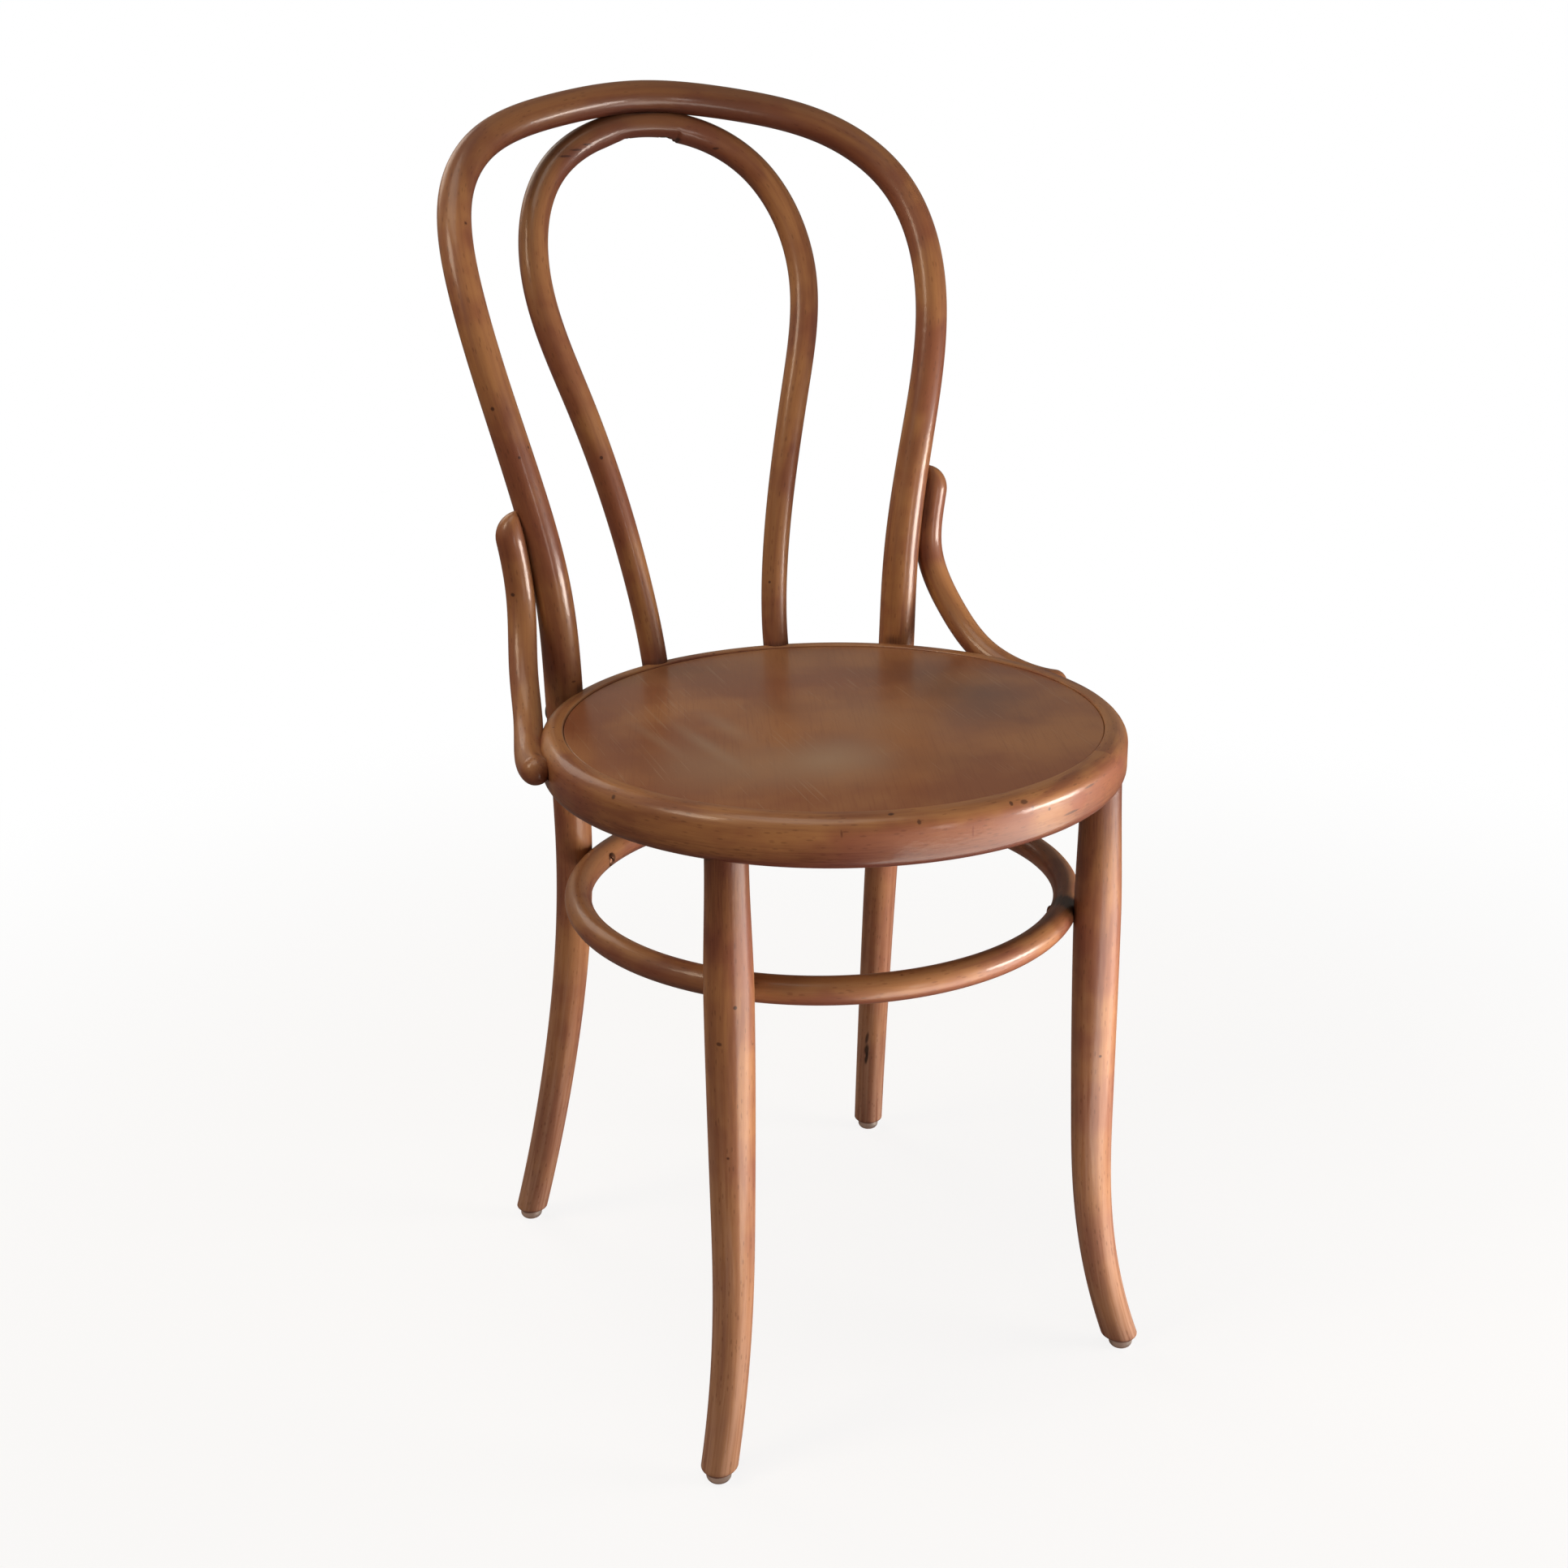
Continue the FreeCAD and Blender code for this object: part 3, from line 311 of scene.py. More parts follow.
def bake(piece: Object) -> Object:
    """Turn what a piece's modifiers make into its own mesh, with its faces outwards and its shading smooth.

    Args:
        piece: The piece with its modifiers.

    Returns:
        The same piece without them.
    """
    bpy.context.view_layer.update()
    graph = bpy.context.evaluated_depsgraph_get()
    made = bpy.data.meshes.new_from_object(piece.evaluated_get(graph), depsgraph=graph)
    made.name = piece.name
    piece.modifiers.clear()
    piece.data = made
    make_outward(piece)
    return finish_mesh(piece)


def grow(piece: Object, tree: NodeTree, values: dict[str, object]) -> Object:
    """Run a Geometry Nodes tree on a piece and keep what it makes as a plain mesh.

    Args:
        piece: The piece, whose mesh holds the points that the tree works on.
        tree: The tree.
        values: A value for each of the tree's named inputs.

    Returns:
        The same piece.
    """
    step = piece.modifiers.new(tree.name, "NODES")
    step.node_group = tree
    for item in tree.interface.items_tree:
        if item.item_type == "SOCKET" and item.in_out == "INPUT" and item.name in values:
            step[item.identifier] = values[item.name]
    return bake(piece)


def cut_away(piece: Object, tool: Object) -> Object:
    """Cut a tool's shape out of a piece, and remove the tool.

    Args:
        piece: The closed piece.
        tool: The closed tool.

    Returns:
        The same piece.
    """
    cut = piece.modifiers.new("cut", "BOOLEAN")
    cut.object, cut.operation, cut.solver = tool, "DIFFERENCE", "EXACT"
    bake(piece)
    bpy.data.objects.remove(tool)
    return piece


def bored(piece: Object, floors: Sequence[np.ndarray], ways: Sequence[np.ndarray],
          radius: float) -> Object:
    """Bore flat-bottomed recesses into a piece for the heads of its screws or bolts.

    Args:
        piece: The closed piece.
        floors: The middle of each recess's floor, in mm.
        ways: The way out of each recess.
        radius: The drill's radius, in mm.

    Returns:
        The same piece.
    """
    sides, reach = 40, 14.0
    points, faces = [], []
    for floor, way in zip(floors, ways):
        turn = Vector(way).to_track_quat("Z", "Y").to_matrix()
        first = len(points)
        for height in (0.0, reach):
            for angle in np.linspace(0.0, 2.0 * math.pi, sides, endpoint=False):
                rim = Vector((radius * math.cos(angle), radius * math.sin(angle), height))
                points.append(floor + np.array(turn @ rim))
        faces.append(tuple(range(first + sides - 1, first - 1, -1)))
        faces.append(tuple(range(first + sides, first + 2 * sides)))
        for side in range(sides):
            after = (side + 1) % sides
            faces.append((first + side, first + after, first + sides + after, first + sides + side))
    return cut_away(piece, new_mesh_object(piece.name + "_drill", np.array(points), faces))


def new_tree(name: str, takes: dict[str, str],
             gives: str) -> tuple[NodeTree, bpy.types.bpy_prop_collection]:
    """Start a Geometry Nodes tree with named inputs and one output.

    Args:
        name: The tree's name.
        takes: What kind of value each input takes.
        gives: The output's name.

    Returns:
        The tree and its inputs' sockets.
    """
    tree = bpy.data.node_groups.new(name, "GeometryNodeTree")
    for label, kind in takes.items():
        tree.interface.new_socket(label, in_out="INPUT", socket_type="NodeSocket" + kind)
    tree.interface.new_socket(gives, in_out="OUTPUT", socket_type="NodeSocketGeometry")
    return tree, tree.nodes.new("NodeGroupInput").outputs


def end_tree(tree: NodeTree, made: NodeSocket, finish: NodeSocket,
             gives: str) -> None:
    """End a tree in real geometry with its material, because the export drops instances.

    Args:
        tree: The tree.
        made: The geometry so far.
        finish: The material's socket.
        gives: The output's name.
    """
    real = add(tree, "GeometryNodeRealizeInstances", {"Geometry": made}, "Geometry")
    dressed = add(tree, "GeometryNodeSetMaterial", {"Geometry": real, "Material": finish}, "Geometry")
    add(tree, "NodeGroupOutput", {gives: dressed})


class RodSweep:
    """The Geometry Nodes tree that sweeps a round section along a rod's axis."""

    def __init__(self) -> None:
        """Build the tree once, with its named inputs."""
        takes = {"Axis": "Geometry", "Sides": "Int", "Turn": "Float", "Finish": "Material"}
        self.tree, source = new_tree("bent_rod_sweep", takes, "Rod")
        tree = self.tree
        radius, level, lean = [add(tree, "GeometryNodeInputNamedAttribute", {"Name": label}, "Attribute",
                                   data_type=data)
                               for label, data in (("rod_radius", "FLOAT"), ("level_share", "FLOAT"),
                                                   ("rod_lean", "FLOAT_VECTOR"))]
        caught = add(tree, "GeometryNodeMeshToCurve", {"Mesh": source["Axis"]}, "Curve")
        kept = {}
        for name, kind, output, data in (("way", "GeometryNodeInputTangent", "Tangent", "VECTOR"),
                                         ("middle", "GeometryNodeInputPosition", "Position", "VECTOR"),
                                         ("along", "GeometryNodeSplineParameter", "Length", "FLOAT")):
            catch = tree.nodes.new("GeometryNodeCaptureAttribute")
            catch.capture_items.new(data, name)
            tree.links.new(caught, catch.inputs["Geometry"])
            tree.links.new(add(tree, kind, None, output), catch.inputs[name])
            caught = catch.outputs["Geometry"]
            kept[name] = catch.outputs[name]
        circle = add(tree, "GeometryNodeCurvePrimitiveCircle",
                     {"Resolution": source["Sides"], "Radius": 1.0}, "Curve", mode="RADIUS")
        around = tree.nodes.new("GeometryNodeCaptureAttribute")
        around.capture_items.new("FLOAT", "around")
        tree.links.new(circle, around.inputs["Geometry"])
        tree.links.new(add(tree, "GeometryNodeSplineParameter", None, "Factor"), around.inputs["around"])
        swept = add(tree, "GeometryNodeCurveToMesh", {
            "Curve": caught, "Profile Curve": around.outputs["Geometry"], "Scale": radius,
            "Fill Caps": True}, "Mesh")

        # A foot is sawn level: each ring near it slides along the rod until it lies flat.
        places = (add(tree, "GeometryNodeInputPosition"), kept["middle"], kept["way"])
        height, middle, rise = [add(tree, "ShaderNodeSeparateXYZ", {0: place}, "Z") for place in places]
        gap = add(tree, "ShaderNodeMath", {0: middle, 1: height}, operation="SUBTRACT")
        run = add(tree, "ShaderNodeMath", {0: gap, 1: rise}, operation="DIVIDE")
        slide = add(tree, "ShaderNodeMath", {0: run, 1: level}, operation="MULTIPLY")
        slid = add(tree, "ShaderNodeVectorMath", {0: kept["way"], "Scale": slide}, "Vector",
                   operation="SCALE")
        offset = add(tree, "ShaderNodeVectorMath", {0: slid, 1: lean}, "Vector", operation="ADD")
        levelled = add(tree, "GeometryNodeSetPosition", {"Geometry": swept, "Offset": offset}, "Geometry")

        # The grain is read in the straight rod, before it is bent: two ways across it and one along it.
        angle = add(tree, "ShaderNodeMath", {0: around.outputs["around"], 1: 2.0 * math.pi,
                                             2: source["Turn"]}, operation="MULTIPLY_ADD")
        across = []
        for operation in ("COSINE", "SINE"):
            wave = add(tree, "ShaderNodeMath", {0: angle}, operation=operation)
            across.append(add(tree, "ShaderNodeMath", {0: wave, 1: radius}, operation="MULTIPLY"))
        straight = add(tree, "ShaderNodeCombineXYZ", {"X": across[0], "Y": across[1], "Z": kept["along"]})
        stored = add(tree, "GeometryNodeStoreNamedAttribute",
                     {"Geometry": levelled, "Name": ROD_SPACE, "Value": straight}, "Geometry",
                     data_type="FLOAT_VECTOR", domain="CORNER")
        end_tree(tree, stored, source["Finish"], "Rod")

    def make(self, name: str, axis: np.ndarray, radii: np.ndarray, finish: Material,
             level: np.ndarray | None = None, sides: int = 56, turn: float = 0.0,
             lean: np.ndarray | None = None) -> Object:
        """Sweep one rod.

        Args:
            name: The piece's name.
            axis: Points along the axis, in mm.
            radii: The rod's radius at each point, in mm.
            finish: The material.
            level: How far each ring is turned level, from 0 to 1.
            sides: Corners round the rod.
            turn: Turn of the grain round the rod, in radians.
            lean: How far each ring is moved aside, in mm.

        Returns:
            The rod as a plain mesh at the origin.
        """
        mesh = bpy.data.meshes.new(name + "_axis")
        mesh.from_pydata(placed(axis).tolist(), [(index, index + 1) for index in range(len(axis) - 1)], [])
        notes = {"rod_radius": radii * MM,
                 "level_share": np.zeros(len(axis)) if level is None else level,
                 "rod_lean": np.zeros((len(axis), 3)) if lean is None else lean * MM}
        for label, values in notes.items():
            write_values(mesh, label, values)
        piece = bpy.data.objects.new(name, mesh)
        bpy.context.scene.collection.objects.link(piece)
        grow(piece, self.tree, {"Sides": sides, "Turn": turn, "Finish": finish})
        for spare in notes:
            if spare in piece.data.attributes:
                piece.data.attributes.remove(piece.data.attributes[spare])
        return piece


def rounded(corners: Sequence[Point], steps: int = 8, closed: bool = True) -> np.ndarray:
    """Round the corners of an outline.

    Args:
        corners: Radius from the axis, height and rounding of each corner, in mm.
        steps: Straight pieces in each rounding.
        closed: Whether the outline joins its own start.

    Returns:
        The outline's points: radius and height.
    """
    points = []
    count = len(corners)
    for index, (reach, height, rounding) in enumerate(corners):
        here = np.array([reach, height])
        if rounding <= 0.0 or (not closed and index in (0, count - 1)):
            points.append(here)
            continue
        before = np.array(corners[index - 1][:2]) - here
        after = np.array(corners[(index + 1) % count][:2]) - here
        before, after = before / np.linalg.norm(before), after / np.linalg.norm(after)
        half = math.acos(float(np.clip(before @ after, -1.0, 1.0))) / 2.0
        cut = rounding / math.tan(half)
        centre = here + (before + after) / np.linalg.norm(before + after) * rounding / math.sin(half)
        start, end = here + before * cut - centre, here + after * cut - centre
        sweep = math.atan2(start[0] * end[1] - start[1] * end[0], float(start @ end))
        for step in range(steps + 1):
            turn = sweep * step / steps
            spin = np.array([[math.cos(turn), -math.sin(turn)], [math.sin(turn), math.cos(turn)]])
            points.append(centre + spin @ start)
    return np.array(points)


def turned(name: str, outline: np.ndarray, sides: int, finish: Material, closed: bool,
           middle: np.ndarray | None = None, seam: float = 0.0) -> Object:
    """Turn an outline about a vertical axis, with the grain running round it.

    Args:
        name: The piece's name.
        outline: Radius and height of each point, in mm, going round the section.
        sides: Steps round the axis.
        finish: The material.
        closed: Whether the outline is a closed section; otherwise it starts and ends on the axis.
        middle: The axis' place, in mm.
        seam: Where the grain starts, in degrees from +Y towards +X.

    Returns:
        The turned piece.
    """
    centre = np.zeros(3) if middle is None else middle
    count = len(outline)
    angles = math.radians(seam) + np.arange(sides) * 2.0 * math.pi / sides
    rings = np.stack([np.stack([outline[:, 0] * math.sin(turn), outline[:, 0] * math.cos(turn),
                                outline[:, 1]], axis=1) for turn in angles])
    if closed:
        points = rings.reshape(-1, 3)
        faces = []
        for ring in range(sides):
            other = (ring + 1) % sides
            for step in range(count):
                after = (step + 1) % count
                faces.append((ring * count + step, other * count + step,
                              other * count + after, ring * count + after))
    else:
        inner = rings[:, 1:-1]
        points = np.concatenate([inner.reshape(-1, 3), [[0, 0, outline[0, 1]], [0, 0, outline[-1, 1]]]])
        size = count - 2
        first, last = sides * size, sides * size + 1
        faces = []
        for ring in range(sides):
            other = (ring + 1) % sides
            faces.append((first, other * size, ring * size))
            faces.append((last, ring * size + size - 1, other * size + size - 1))
            for step in range(size - 1):
                faces.append((ring * size + step, other * size + step, other * size + step + 1,
                              ring * size + step + 1))
    piece = new_mesh_object(name, points + centre, faces)
    wrap = float(outline[:, 0].max())
    middle_height = float(outline[:, 1].mean())
    local = np.empty((len(piece.data.loops), 3))
    corner = 0
    for face in piece.data.polygons:
        spots = [np.array(piece.data.vertices[number].co) / MM - centre + AXIS for number in face.vertices]
        turns = [(math.atan2(spot[0], spot[1]) - math.radians(seam)) % (2.0 * math.pi) for spot in spots]
        for spot, turn in zip(spots, turns):
            if max(turns) - turn > math.pi:
                turn += 2.0 * math.pi
            local[corner] = (math.hypot(spot[0], spot[1]) - wrap, spot[2] - middle_height, turn * wrap)
            corner += 1
    write_values(piece.data, ROD_SPACE, local * MM, "CORNER")
    piece.data.materials.append(finish)
    make_outward(piece)
    return finish_mesh(piece)


# Finishes


@dataclass(frozen=True)
class Mark:
    """A dent, stain, nick, painted shade or painted reflection: place and half sizes in mm, strength,
    colour and how soft its edge is.
    """

    place: Point
    reach: Point
    strength: float = 0.8
    tone: str = "#2A120B"
    soft: float = 0.5


DIRT_AND_CONTACT_SHADE = "#2E140D"  # dirt round a rod's foot on the seat, with painted contact shade
CRACK = "#1A0C08"  # the inside of an open crack
CONTACT_SHADE = "#331811"  # painted shade where the inner loop's top meets the hoop's underside
UNDER_SEAT_SHADE = "#4A2018"  # painted shade of the seat ring on the front legs' tops
METAL_DIRT = "#33201B"  # what the ring screws left on the legs
JOINT = "#3A1E16"  # dirt where a leg meets the leg ring
RUBBED = "#A08A74"  # sheet that clothes have rubbed pale
PANEL_TOP = 465.8
PATCH_REACH = 30.0  # a panel patch's half height, far more than the sheet's thickness


def both_sides(mark: Mark) -> tuple[Mark, Mark]:
    """Return a mark and its twin on the chair's other side."""
    return mark, replace(mark, place=tuple(mirrored(mark.place)))


def on_panel(x: float, y: float, wide: float, deep: float, strength: float, tone: str,
             soft: float = 1.3) -> Mark:
    """Return a soft patch on the seat panel's top."""
    return Mark((x, y, PANEL_TOP), (wide, deep, PATCH_REACH), strength, tone, soft)


class Shades:
    """A material's node tree, with the patterns that the finishes here are laid up from."""

    SPOT_CORE = 0.45  # the share of a spot's radius inside which it is whole
    CHANCE_EDGE = 0.02
    RAGGED = 0.8  # how far the wood frays a mark's edge, in half sizes
    MARK_EDGE = 1.5  # where a mark ends, in half sizes

    def __init__(self, name: str) -> None:
        """Start a material.

        Args:
            name: The material's name.
        """
        self.made = bpy.data.materials.new(name)
        self.made.use_nodes = True
        self.tree = self.made.node_tree
        self.shader = self.tree.nodes["Principled BSDF"]
        self.body = add(self.tree, "ShaderNodeTexCoord", None, "Object")

    def stepped(self, place: NodeSocket, pitch: Sequence[float]) -> NodeSocket:
        """Return coordinates that grow by one over each pitch, which is in mm."""
        scale = tuple(1.0 / (step * MM) for step in pitch)
        return add(self.tree, "ShaderNodeVectorMath", {0: place, 1: scale}, operation="MULTIPLY")

    def pattern(self, place: NodeSocket, pitch: Point, detail: float = 2.0,
                roughness: float = 0.5, distortion: float = 0.0) -> NodeSocket:
        """Return a cloudy pattern.

        Args:
            place: Coordinates in metres.
            pitch: The pattern's step along each axis, in mm.
            detail: How many finer patterns it holds.
            roughness: How strong the finer patterns are.
            distortion: How much it is stirred.

        Returns:
            Values about a half.
        """
        return add(self.tree, "ShaderNodeTexNoise",
                   {"Vector": self.stepped(place, pitch), "Scale": 1.0, "Detail": detail,
                    "Roughness": roughness, "Distortion": distortion}, "Fac")

    def spots(self, place: NodeSocket, pitch: Point, size: float,
              share: float) -> NodeSocket:
        """Return scattered spots.

        Args:
            place: Coordinates in metres.
            pitch: The spots' distance along each axis, in mm.
            size: A spot's radius, as a share of the pitch.
            share: The share of the places that hold a spot.

        Returns:
            1 in a spot and 0 between them.
        """
        cells = self.tree.nodes.new("ShaderNodeTexVoronoi")
        feed(self.tree, cells.inputs["Vector"], self.stepped(place, pitch))
        feed(self.tree, cells.inputs["Scale"], 1.0)
        chance = add(self.tree, "ShaderNodeSeparateColor", {0: cells.outputs["Color"]})
        held = add(self.tree, "ShaderNodeMapRange", {"Value": chance, "From Min": 1.0 - share,
                                                     "From Max": 1.0 - share + self.CHANCE_EDGE})
        near = add(self.tree, "ShaderNodeMapRange",
                   {"Value": cells.outputs["Distance"], "From Min": size * self.SPOT_CORE,
                    "From Max": size, "To Min": 1.0, "To Max": 0.0})
        return add(self.tree, "ShaderNodeMath", {0: near, 1: held}, operation="MULTIPLY")

    def laid(self, tone: NodeSocket | tuple, colour: str, pattern: NodeSocket,
             levels: tuple[float, float] = (0.0, 1.0), shares: tuple[float, float] = (0.0, 1.0),
             ) -> NodeSocket:
        """Lay a colour over a tone where a pattern is strong.

        Args:
            tone: The colour so far.
            colour: The colour that goes over it.
            pattern: The pattern.
            levels: The pattern's values between which the colour comes in.
            shares: How much of the colour there is at each of them.

        Returns:
            The new tone.
        """
        share = add(self.tree, "ShaderNodeMapRange",
                    {"Value": pattern, "From Min": levels[0], "From Max": levels[1], "To Min": shares[0],
                     "To Max": shares[1]}, interpolation_type="SMOOTHSTEP")
        return add(self.tree, "ShaderNodeMix", {0: share, 6: tone, 7: linear(colour)}, 2, data_type="RGBA")

    def marked(self, tone: NodeSocket, marks: Sequence[Mark],
               ragged: NodeSocket) -> NodeSocket:
        """Return the tone with the piece's own marks on it.

        Args:
            tone: The colour so far.
            marks: The marks.
            ragged: A pattern that frays their edges.

        Returns:
            The marked colour.
        """
        for mark in marks:
            centred = add(self.tree, "ShaderNodeVectorMath",
                          {0: self.body, 1: tuple(placed(mark.place))}, operation="SUBTRACT")
            away = add(self.tree, "ShaderNodeVectorMath", {0: self.stepped(centred, mark.reach)}, "Value",
                       operation="LENGTH")
            edge = add(self.tree, "ShaderNodeMath", {0: ragged, 1: self.RAGGED, 2: away},
                       operation="MULTIPLY_ADD")
            tone = self.laid(tone, mark.tone, edge, (self.MARK_EDGE - mark.soft, self.MARK_EDGE),
                             (mark.strength, 0.0))
        return tone

    def finished(self, **sockets: object) -> Material:
        """Give the shader what it takes.

        Args:
            sockets: Links and values for the shader's inputs, named with low lines for spaces.

        Returns:
            The material.
        """
        for name, value in sockets.items():
            feed(self.tree, self.shader.inputs[name.replace("_", " ")], value)
        return self.made


@dataclass(frozen=True)
class VarnishedBeech:
    """Steam-bent beech, stained brown and shellacked.

    Short dark flecks and fine fibres run with the rod. The red-brown stain is worn to gold on what faces
    up, with painted light laid on it there, and deep where it faces down, which is painted shade. Painted
    shade darkens the top of the back, and near the floor the stain is bare grey-pink from kick wear with
    painted light. All lies under a glossy film whose small waves break its lights. Fibres and flecks are
    drawn about three times as coarse as beech has them, because real ones are too fine to show from where
    the chair is seen.
    """

    gold: str = "#9F7047"
    brown: str = "#855238"
    red: str = "#67352A"
    # the next three colours: painted shade on what faces down, painted shade at the back's top, and kick
    # wear with painted light near the floor
    deep: str = "#4E251A"
    top_shade: str = "#512D1B"
    bare_and_lit: str = "#BC9780"
    fleck: str = "#3A1A10"
    cloud: Point = (60.0, 60.0, 60.0)
    patch: Point = (17.0, 17.0, 110.0)
    figure: Point = (4.2, 4.2, 130.0)
    fibre: Point = (0.9, 0.9, 20.0)
    fleck_pitch: Point = (1.9, 1.9, 7.5)
    pore_pitch: Point = (24.0, 24.0, 24.0)
    wave: Point = (2.8, 2.8, 6.0)
    fleck_size: float = 0.36
    fleck_share: float = 0.35
    pore_size: float = 0.06
    pore_share: float = 0.5
    # how much gold the wear and the painted top light lay on what faces up
    top_wear_and_light: float = 0.17
    # heights and strength of the kick wear and painted light near the floor
    kick_and_light_heights: tuple[float, float] = (20.0, 430.0)
    kick_and_light_share: float = 0.75
    # heights between which painted shade darkens the back's top
    top_shade_heights: tuple[float, float] = (770.0, 850.0)
    roughness: tuple[float, float] = (0.48, 0.38)
    specular: float = 0.3
    coat: tuple[float, float] = (0.38, 0.15)
    film_depth: float = 0.2
    film_strength: float = 0.5
    film_fibre: float = 0.3

    def material(self, name: str, marks: Sequence[Mark] = ()) -> Material:
        """Make the material of one piece, with its own marks.

        Args:
            name: The material's name.
            marks: The piece's dents and stains, and its patches of painted shade.

        Returns:
            The material.
        """
        wood = Shades(name)
        rod = add(wood.tree, "ShaderNodeAttribute", None, "Vector", attribute_name=ROD_SPACE)
        clouds = wood.pattern(wood.body, self.cloud, 3.0, 0.55)
        patches = wood.pattern(rod, self.patch, 3.0, 0.5, 0.6)
        figure = wood.pattern(rod, self.figure, 2.0, 0.5, 0.4)
        fibres = wood.pattern(rod, self.fibre, 3.0, 0.6)
        flecks = wood.spots(rod, self.fleck_pitch, self.fleck_size, self.fleck_share)
        pores = wood.spots(wood.body, self.pore_pitch, self.pore_size, self.pore_share)
        normal = add(wood.tree, "ShaderNodeNewGeometry", None, "Normal")
        facing, height = [add(wood.tree, "ShaderNodeSeparateXYZ", {0: value}, "Z")
                          for value in (normal, wood.body)]
        worn_and_lit = add(wood.tree, "ShaderNodeMath", {0: facing, 1: self.top_wear_and_light, 2: clouds},
                   operation="MULTIPLY_ADD")
        floor_end, kick_and_light_end = (value * MM for value in self.kick_and_light_heights)
        low = add(wood.tree, "ShaderNodeMapRange", {"Value": height, "From Min": floor_end,
                                                    "From Max": kick_and_light_end, "To Min": self.kick_and_light_share,
                                                    "To Max": 0.0})
        patchy = add(wood.tree, "ShaderNodeMapRange", {"Value": figure, "From Min": 0.35, "From Max": 0.6,
                                                       "To Min": 1.0, "To Max": 0.5})
        kicked_and_lit = add(wood.tree, "ShaderNodeMath", {0: low, 1: patchy}, operation="MULTIPLY")

        whole = (0.0, 1.0)
        top_shade_band = tuple(value * MM for value in self.top_shade_heights)
        tone = linear(self.brown)
        for colour, pattern, levels, shares in (
                (self.gold, worn_and_lit, (0.38, 0.64), whole),  # worn on top, with painted light on what faces up
                (self.red, patches, (0.44, 0.68), (0.0, 0.6)),  # stain taken unevenly along the rod
                (self.red, figure, (0.46, 0.72), (0.0, 0.24)),
                (self.top_shade, height, top_shade_band, (0.0, 0.5)),  # painted shade towards the back's top
                (self.bare_and_lit, kicked_and_lit, whole, whole),  # kicked and mopped near the floor, with painted light there
                (self.deep, facing, (-0.9, -0.05), (0.75, 0.0)),  # painted shade on what faces down
                (self.red, fibres, (0.46, 0.78), (0.0, 0.24)),
                (self.fleck, flecks, whole, (0.0, 0.30)),  # the wood's rays
                (self.fleck, pores, whole, (0.0, 0.85))):  # small nicks
            tone = wood.laid(tone, colour, pattern, levels, shares)
        tone = wood.marked(tone, marks, fibres)

        waves = wood.pattern(rod, self.wave)
        film = add(wood.tree, "ShaderNodeMath", {0: fibres, 1: self.film_fibre, 2: waves},
                   operation="MULTIPLY_ADD")
        relief = add(wood.tree, "ShaderNodeBump", {"Height": film, "Strength": self.film_strength,
                                                   "Distance": self.film_depth * MM})
        gloss = add(wood.tree, "ShaderNodeMapRange", {"Value": clouds, "From Min": 0.35, "From Max": 0.7,
                                                      "To Min": self.roughness[0],
                                                      "To Max": self.roughness[1]})
        return wood.finished(Base_Color=tone, Roughness=gloss, Normal=relief, Coat_Normal=relief,
                             Specular_IOR_Level=self.specular, Coat_Weight=self.coat[0],
                             Coat_Roughness=self.coat[1])


@dataclass(frozen=True)
class WornPlywood:
    """Rotary-cut plywood face, stained and worn by sitting.

    A satin grey-brown sheet with faint broad figure, pale rubbed patches in its middle, fine scratches and
    soft painted reflections of the back. Fibres and scratches are drawn a few times as wide as they are,
    so that they show.
    """

    light: str = "#9A6A44"
    middle: str = "#855234"
    deep: str = "#6E3F26"
    rubbed: str = "#AB9078"
    grain_turn: float = 24.0
    scratch_turn: float = 8.0
    cloud: Point = (95.0, 95.0, 95.0)
    rub: Point = (45.0, 45.0, 45.0)
    fibre: Point = (1.3, 42.0, 4.0)
    scratch: Point = (1.5, 70.0, 4.0)
    scratched: float = 0.34
    roughness: tuple[float, float] = (0.38, 0.46)
    specular: float = 0.3
    coat: tuple[float, float] = (0.5, 0.25)
    fibre_depth: float = 0.1
    fibre_strength: float = 0.15

    def material(self, name: str, marks: Sequence[Mark] = ()) -> Material:
        """Make the panel's material.

        Args:
            name: The material's name.
            marks: Its rubbed patches and stains, and its painted reflections.

        Returns:
            The material.
        """
        sheet = Shades(name)
        turned_ways = [add(sheet.tree, "ShaderNodeMapping",
                           {"Vector": sheet.body, "Rotation": (0.0, 0.0, math.radians(turn))}, "Vector")
                       for turn in (self.grain_turn, self.scratch_turn)]
        fibres = sheet.pattern(turned_ways[0], self.fibre, 3.0)
        scratches = sheet.pattern(turned_ways[1], self.scratch, 1.0)
        clouds = sheet.pattern(sheet.body, self.cloud, 3.0, 0.55)
        rubbing = sheet.pattern(sheet.body, self.rub)
        where = add(sheet.tree, "ShaderNodeMapRange", {"Value": rubbing, "From Min": 0.38, "From Max": 0.55,
                                                       "To Max": self.scratched})
        thin = add(sheet.tree, "ShaderNodeMapRange", {"Value": scratches, "From Min": 0.6,
                                                      "From Max": 0.72})
        lines = add(sheet.tree, "ShaderNodeMath", {0: thin, 1: where}, operation="MULTIPLY")

        tone = sheet.laid(linear(self.middle), self.light, clouds, (0.36, 0.64))
        tone = sheet.laid(tone, self.deep, fibres, (0.46, 0.8), (0.0, 0.3))
        tone = sheet.marked(tone, marks, clouds)
        tone = sheet.laid(tone, self.rubbed, lines)
        relief = add(sheet.tree, "ShaderNodeBump", {"Height": fibres, "Strength": self.fibre_strength,
                                                    "Distance": self.fibre_depth * MM})
        gloss = add(sheet.tree, "ShaderNodeMapRange", {"Value": clouds, "From Min": 0.35, "From Max": 0.65,
                                                       "To Min": self.roughness[0],
                                                       "To Max": self.roughness[1]})
        return sheet.finished(Base_Color=tone, Roughness=gloss, Normal=relief,
                              Specular_IOR_Level=self.specular, Coat_Weight=self.coat[0],
                              Coat_Roughness=self.coat[1])


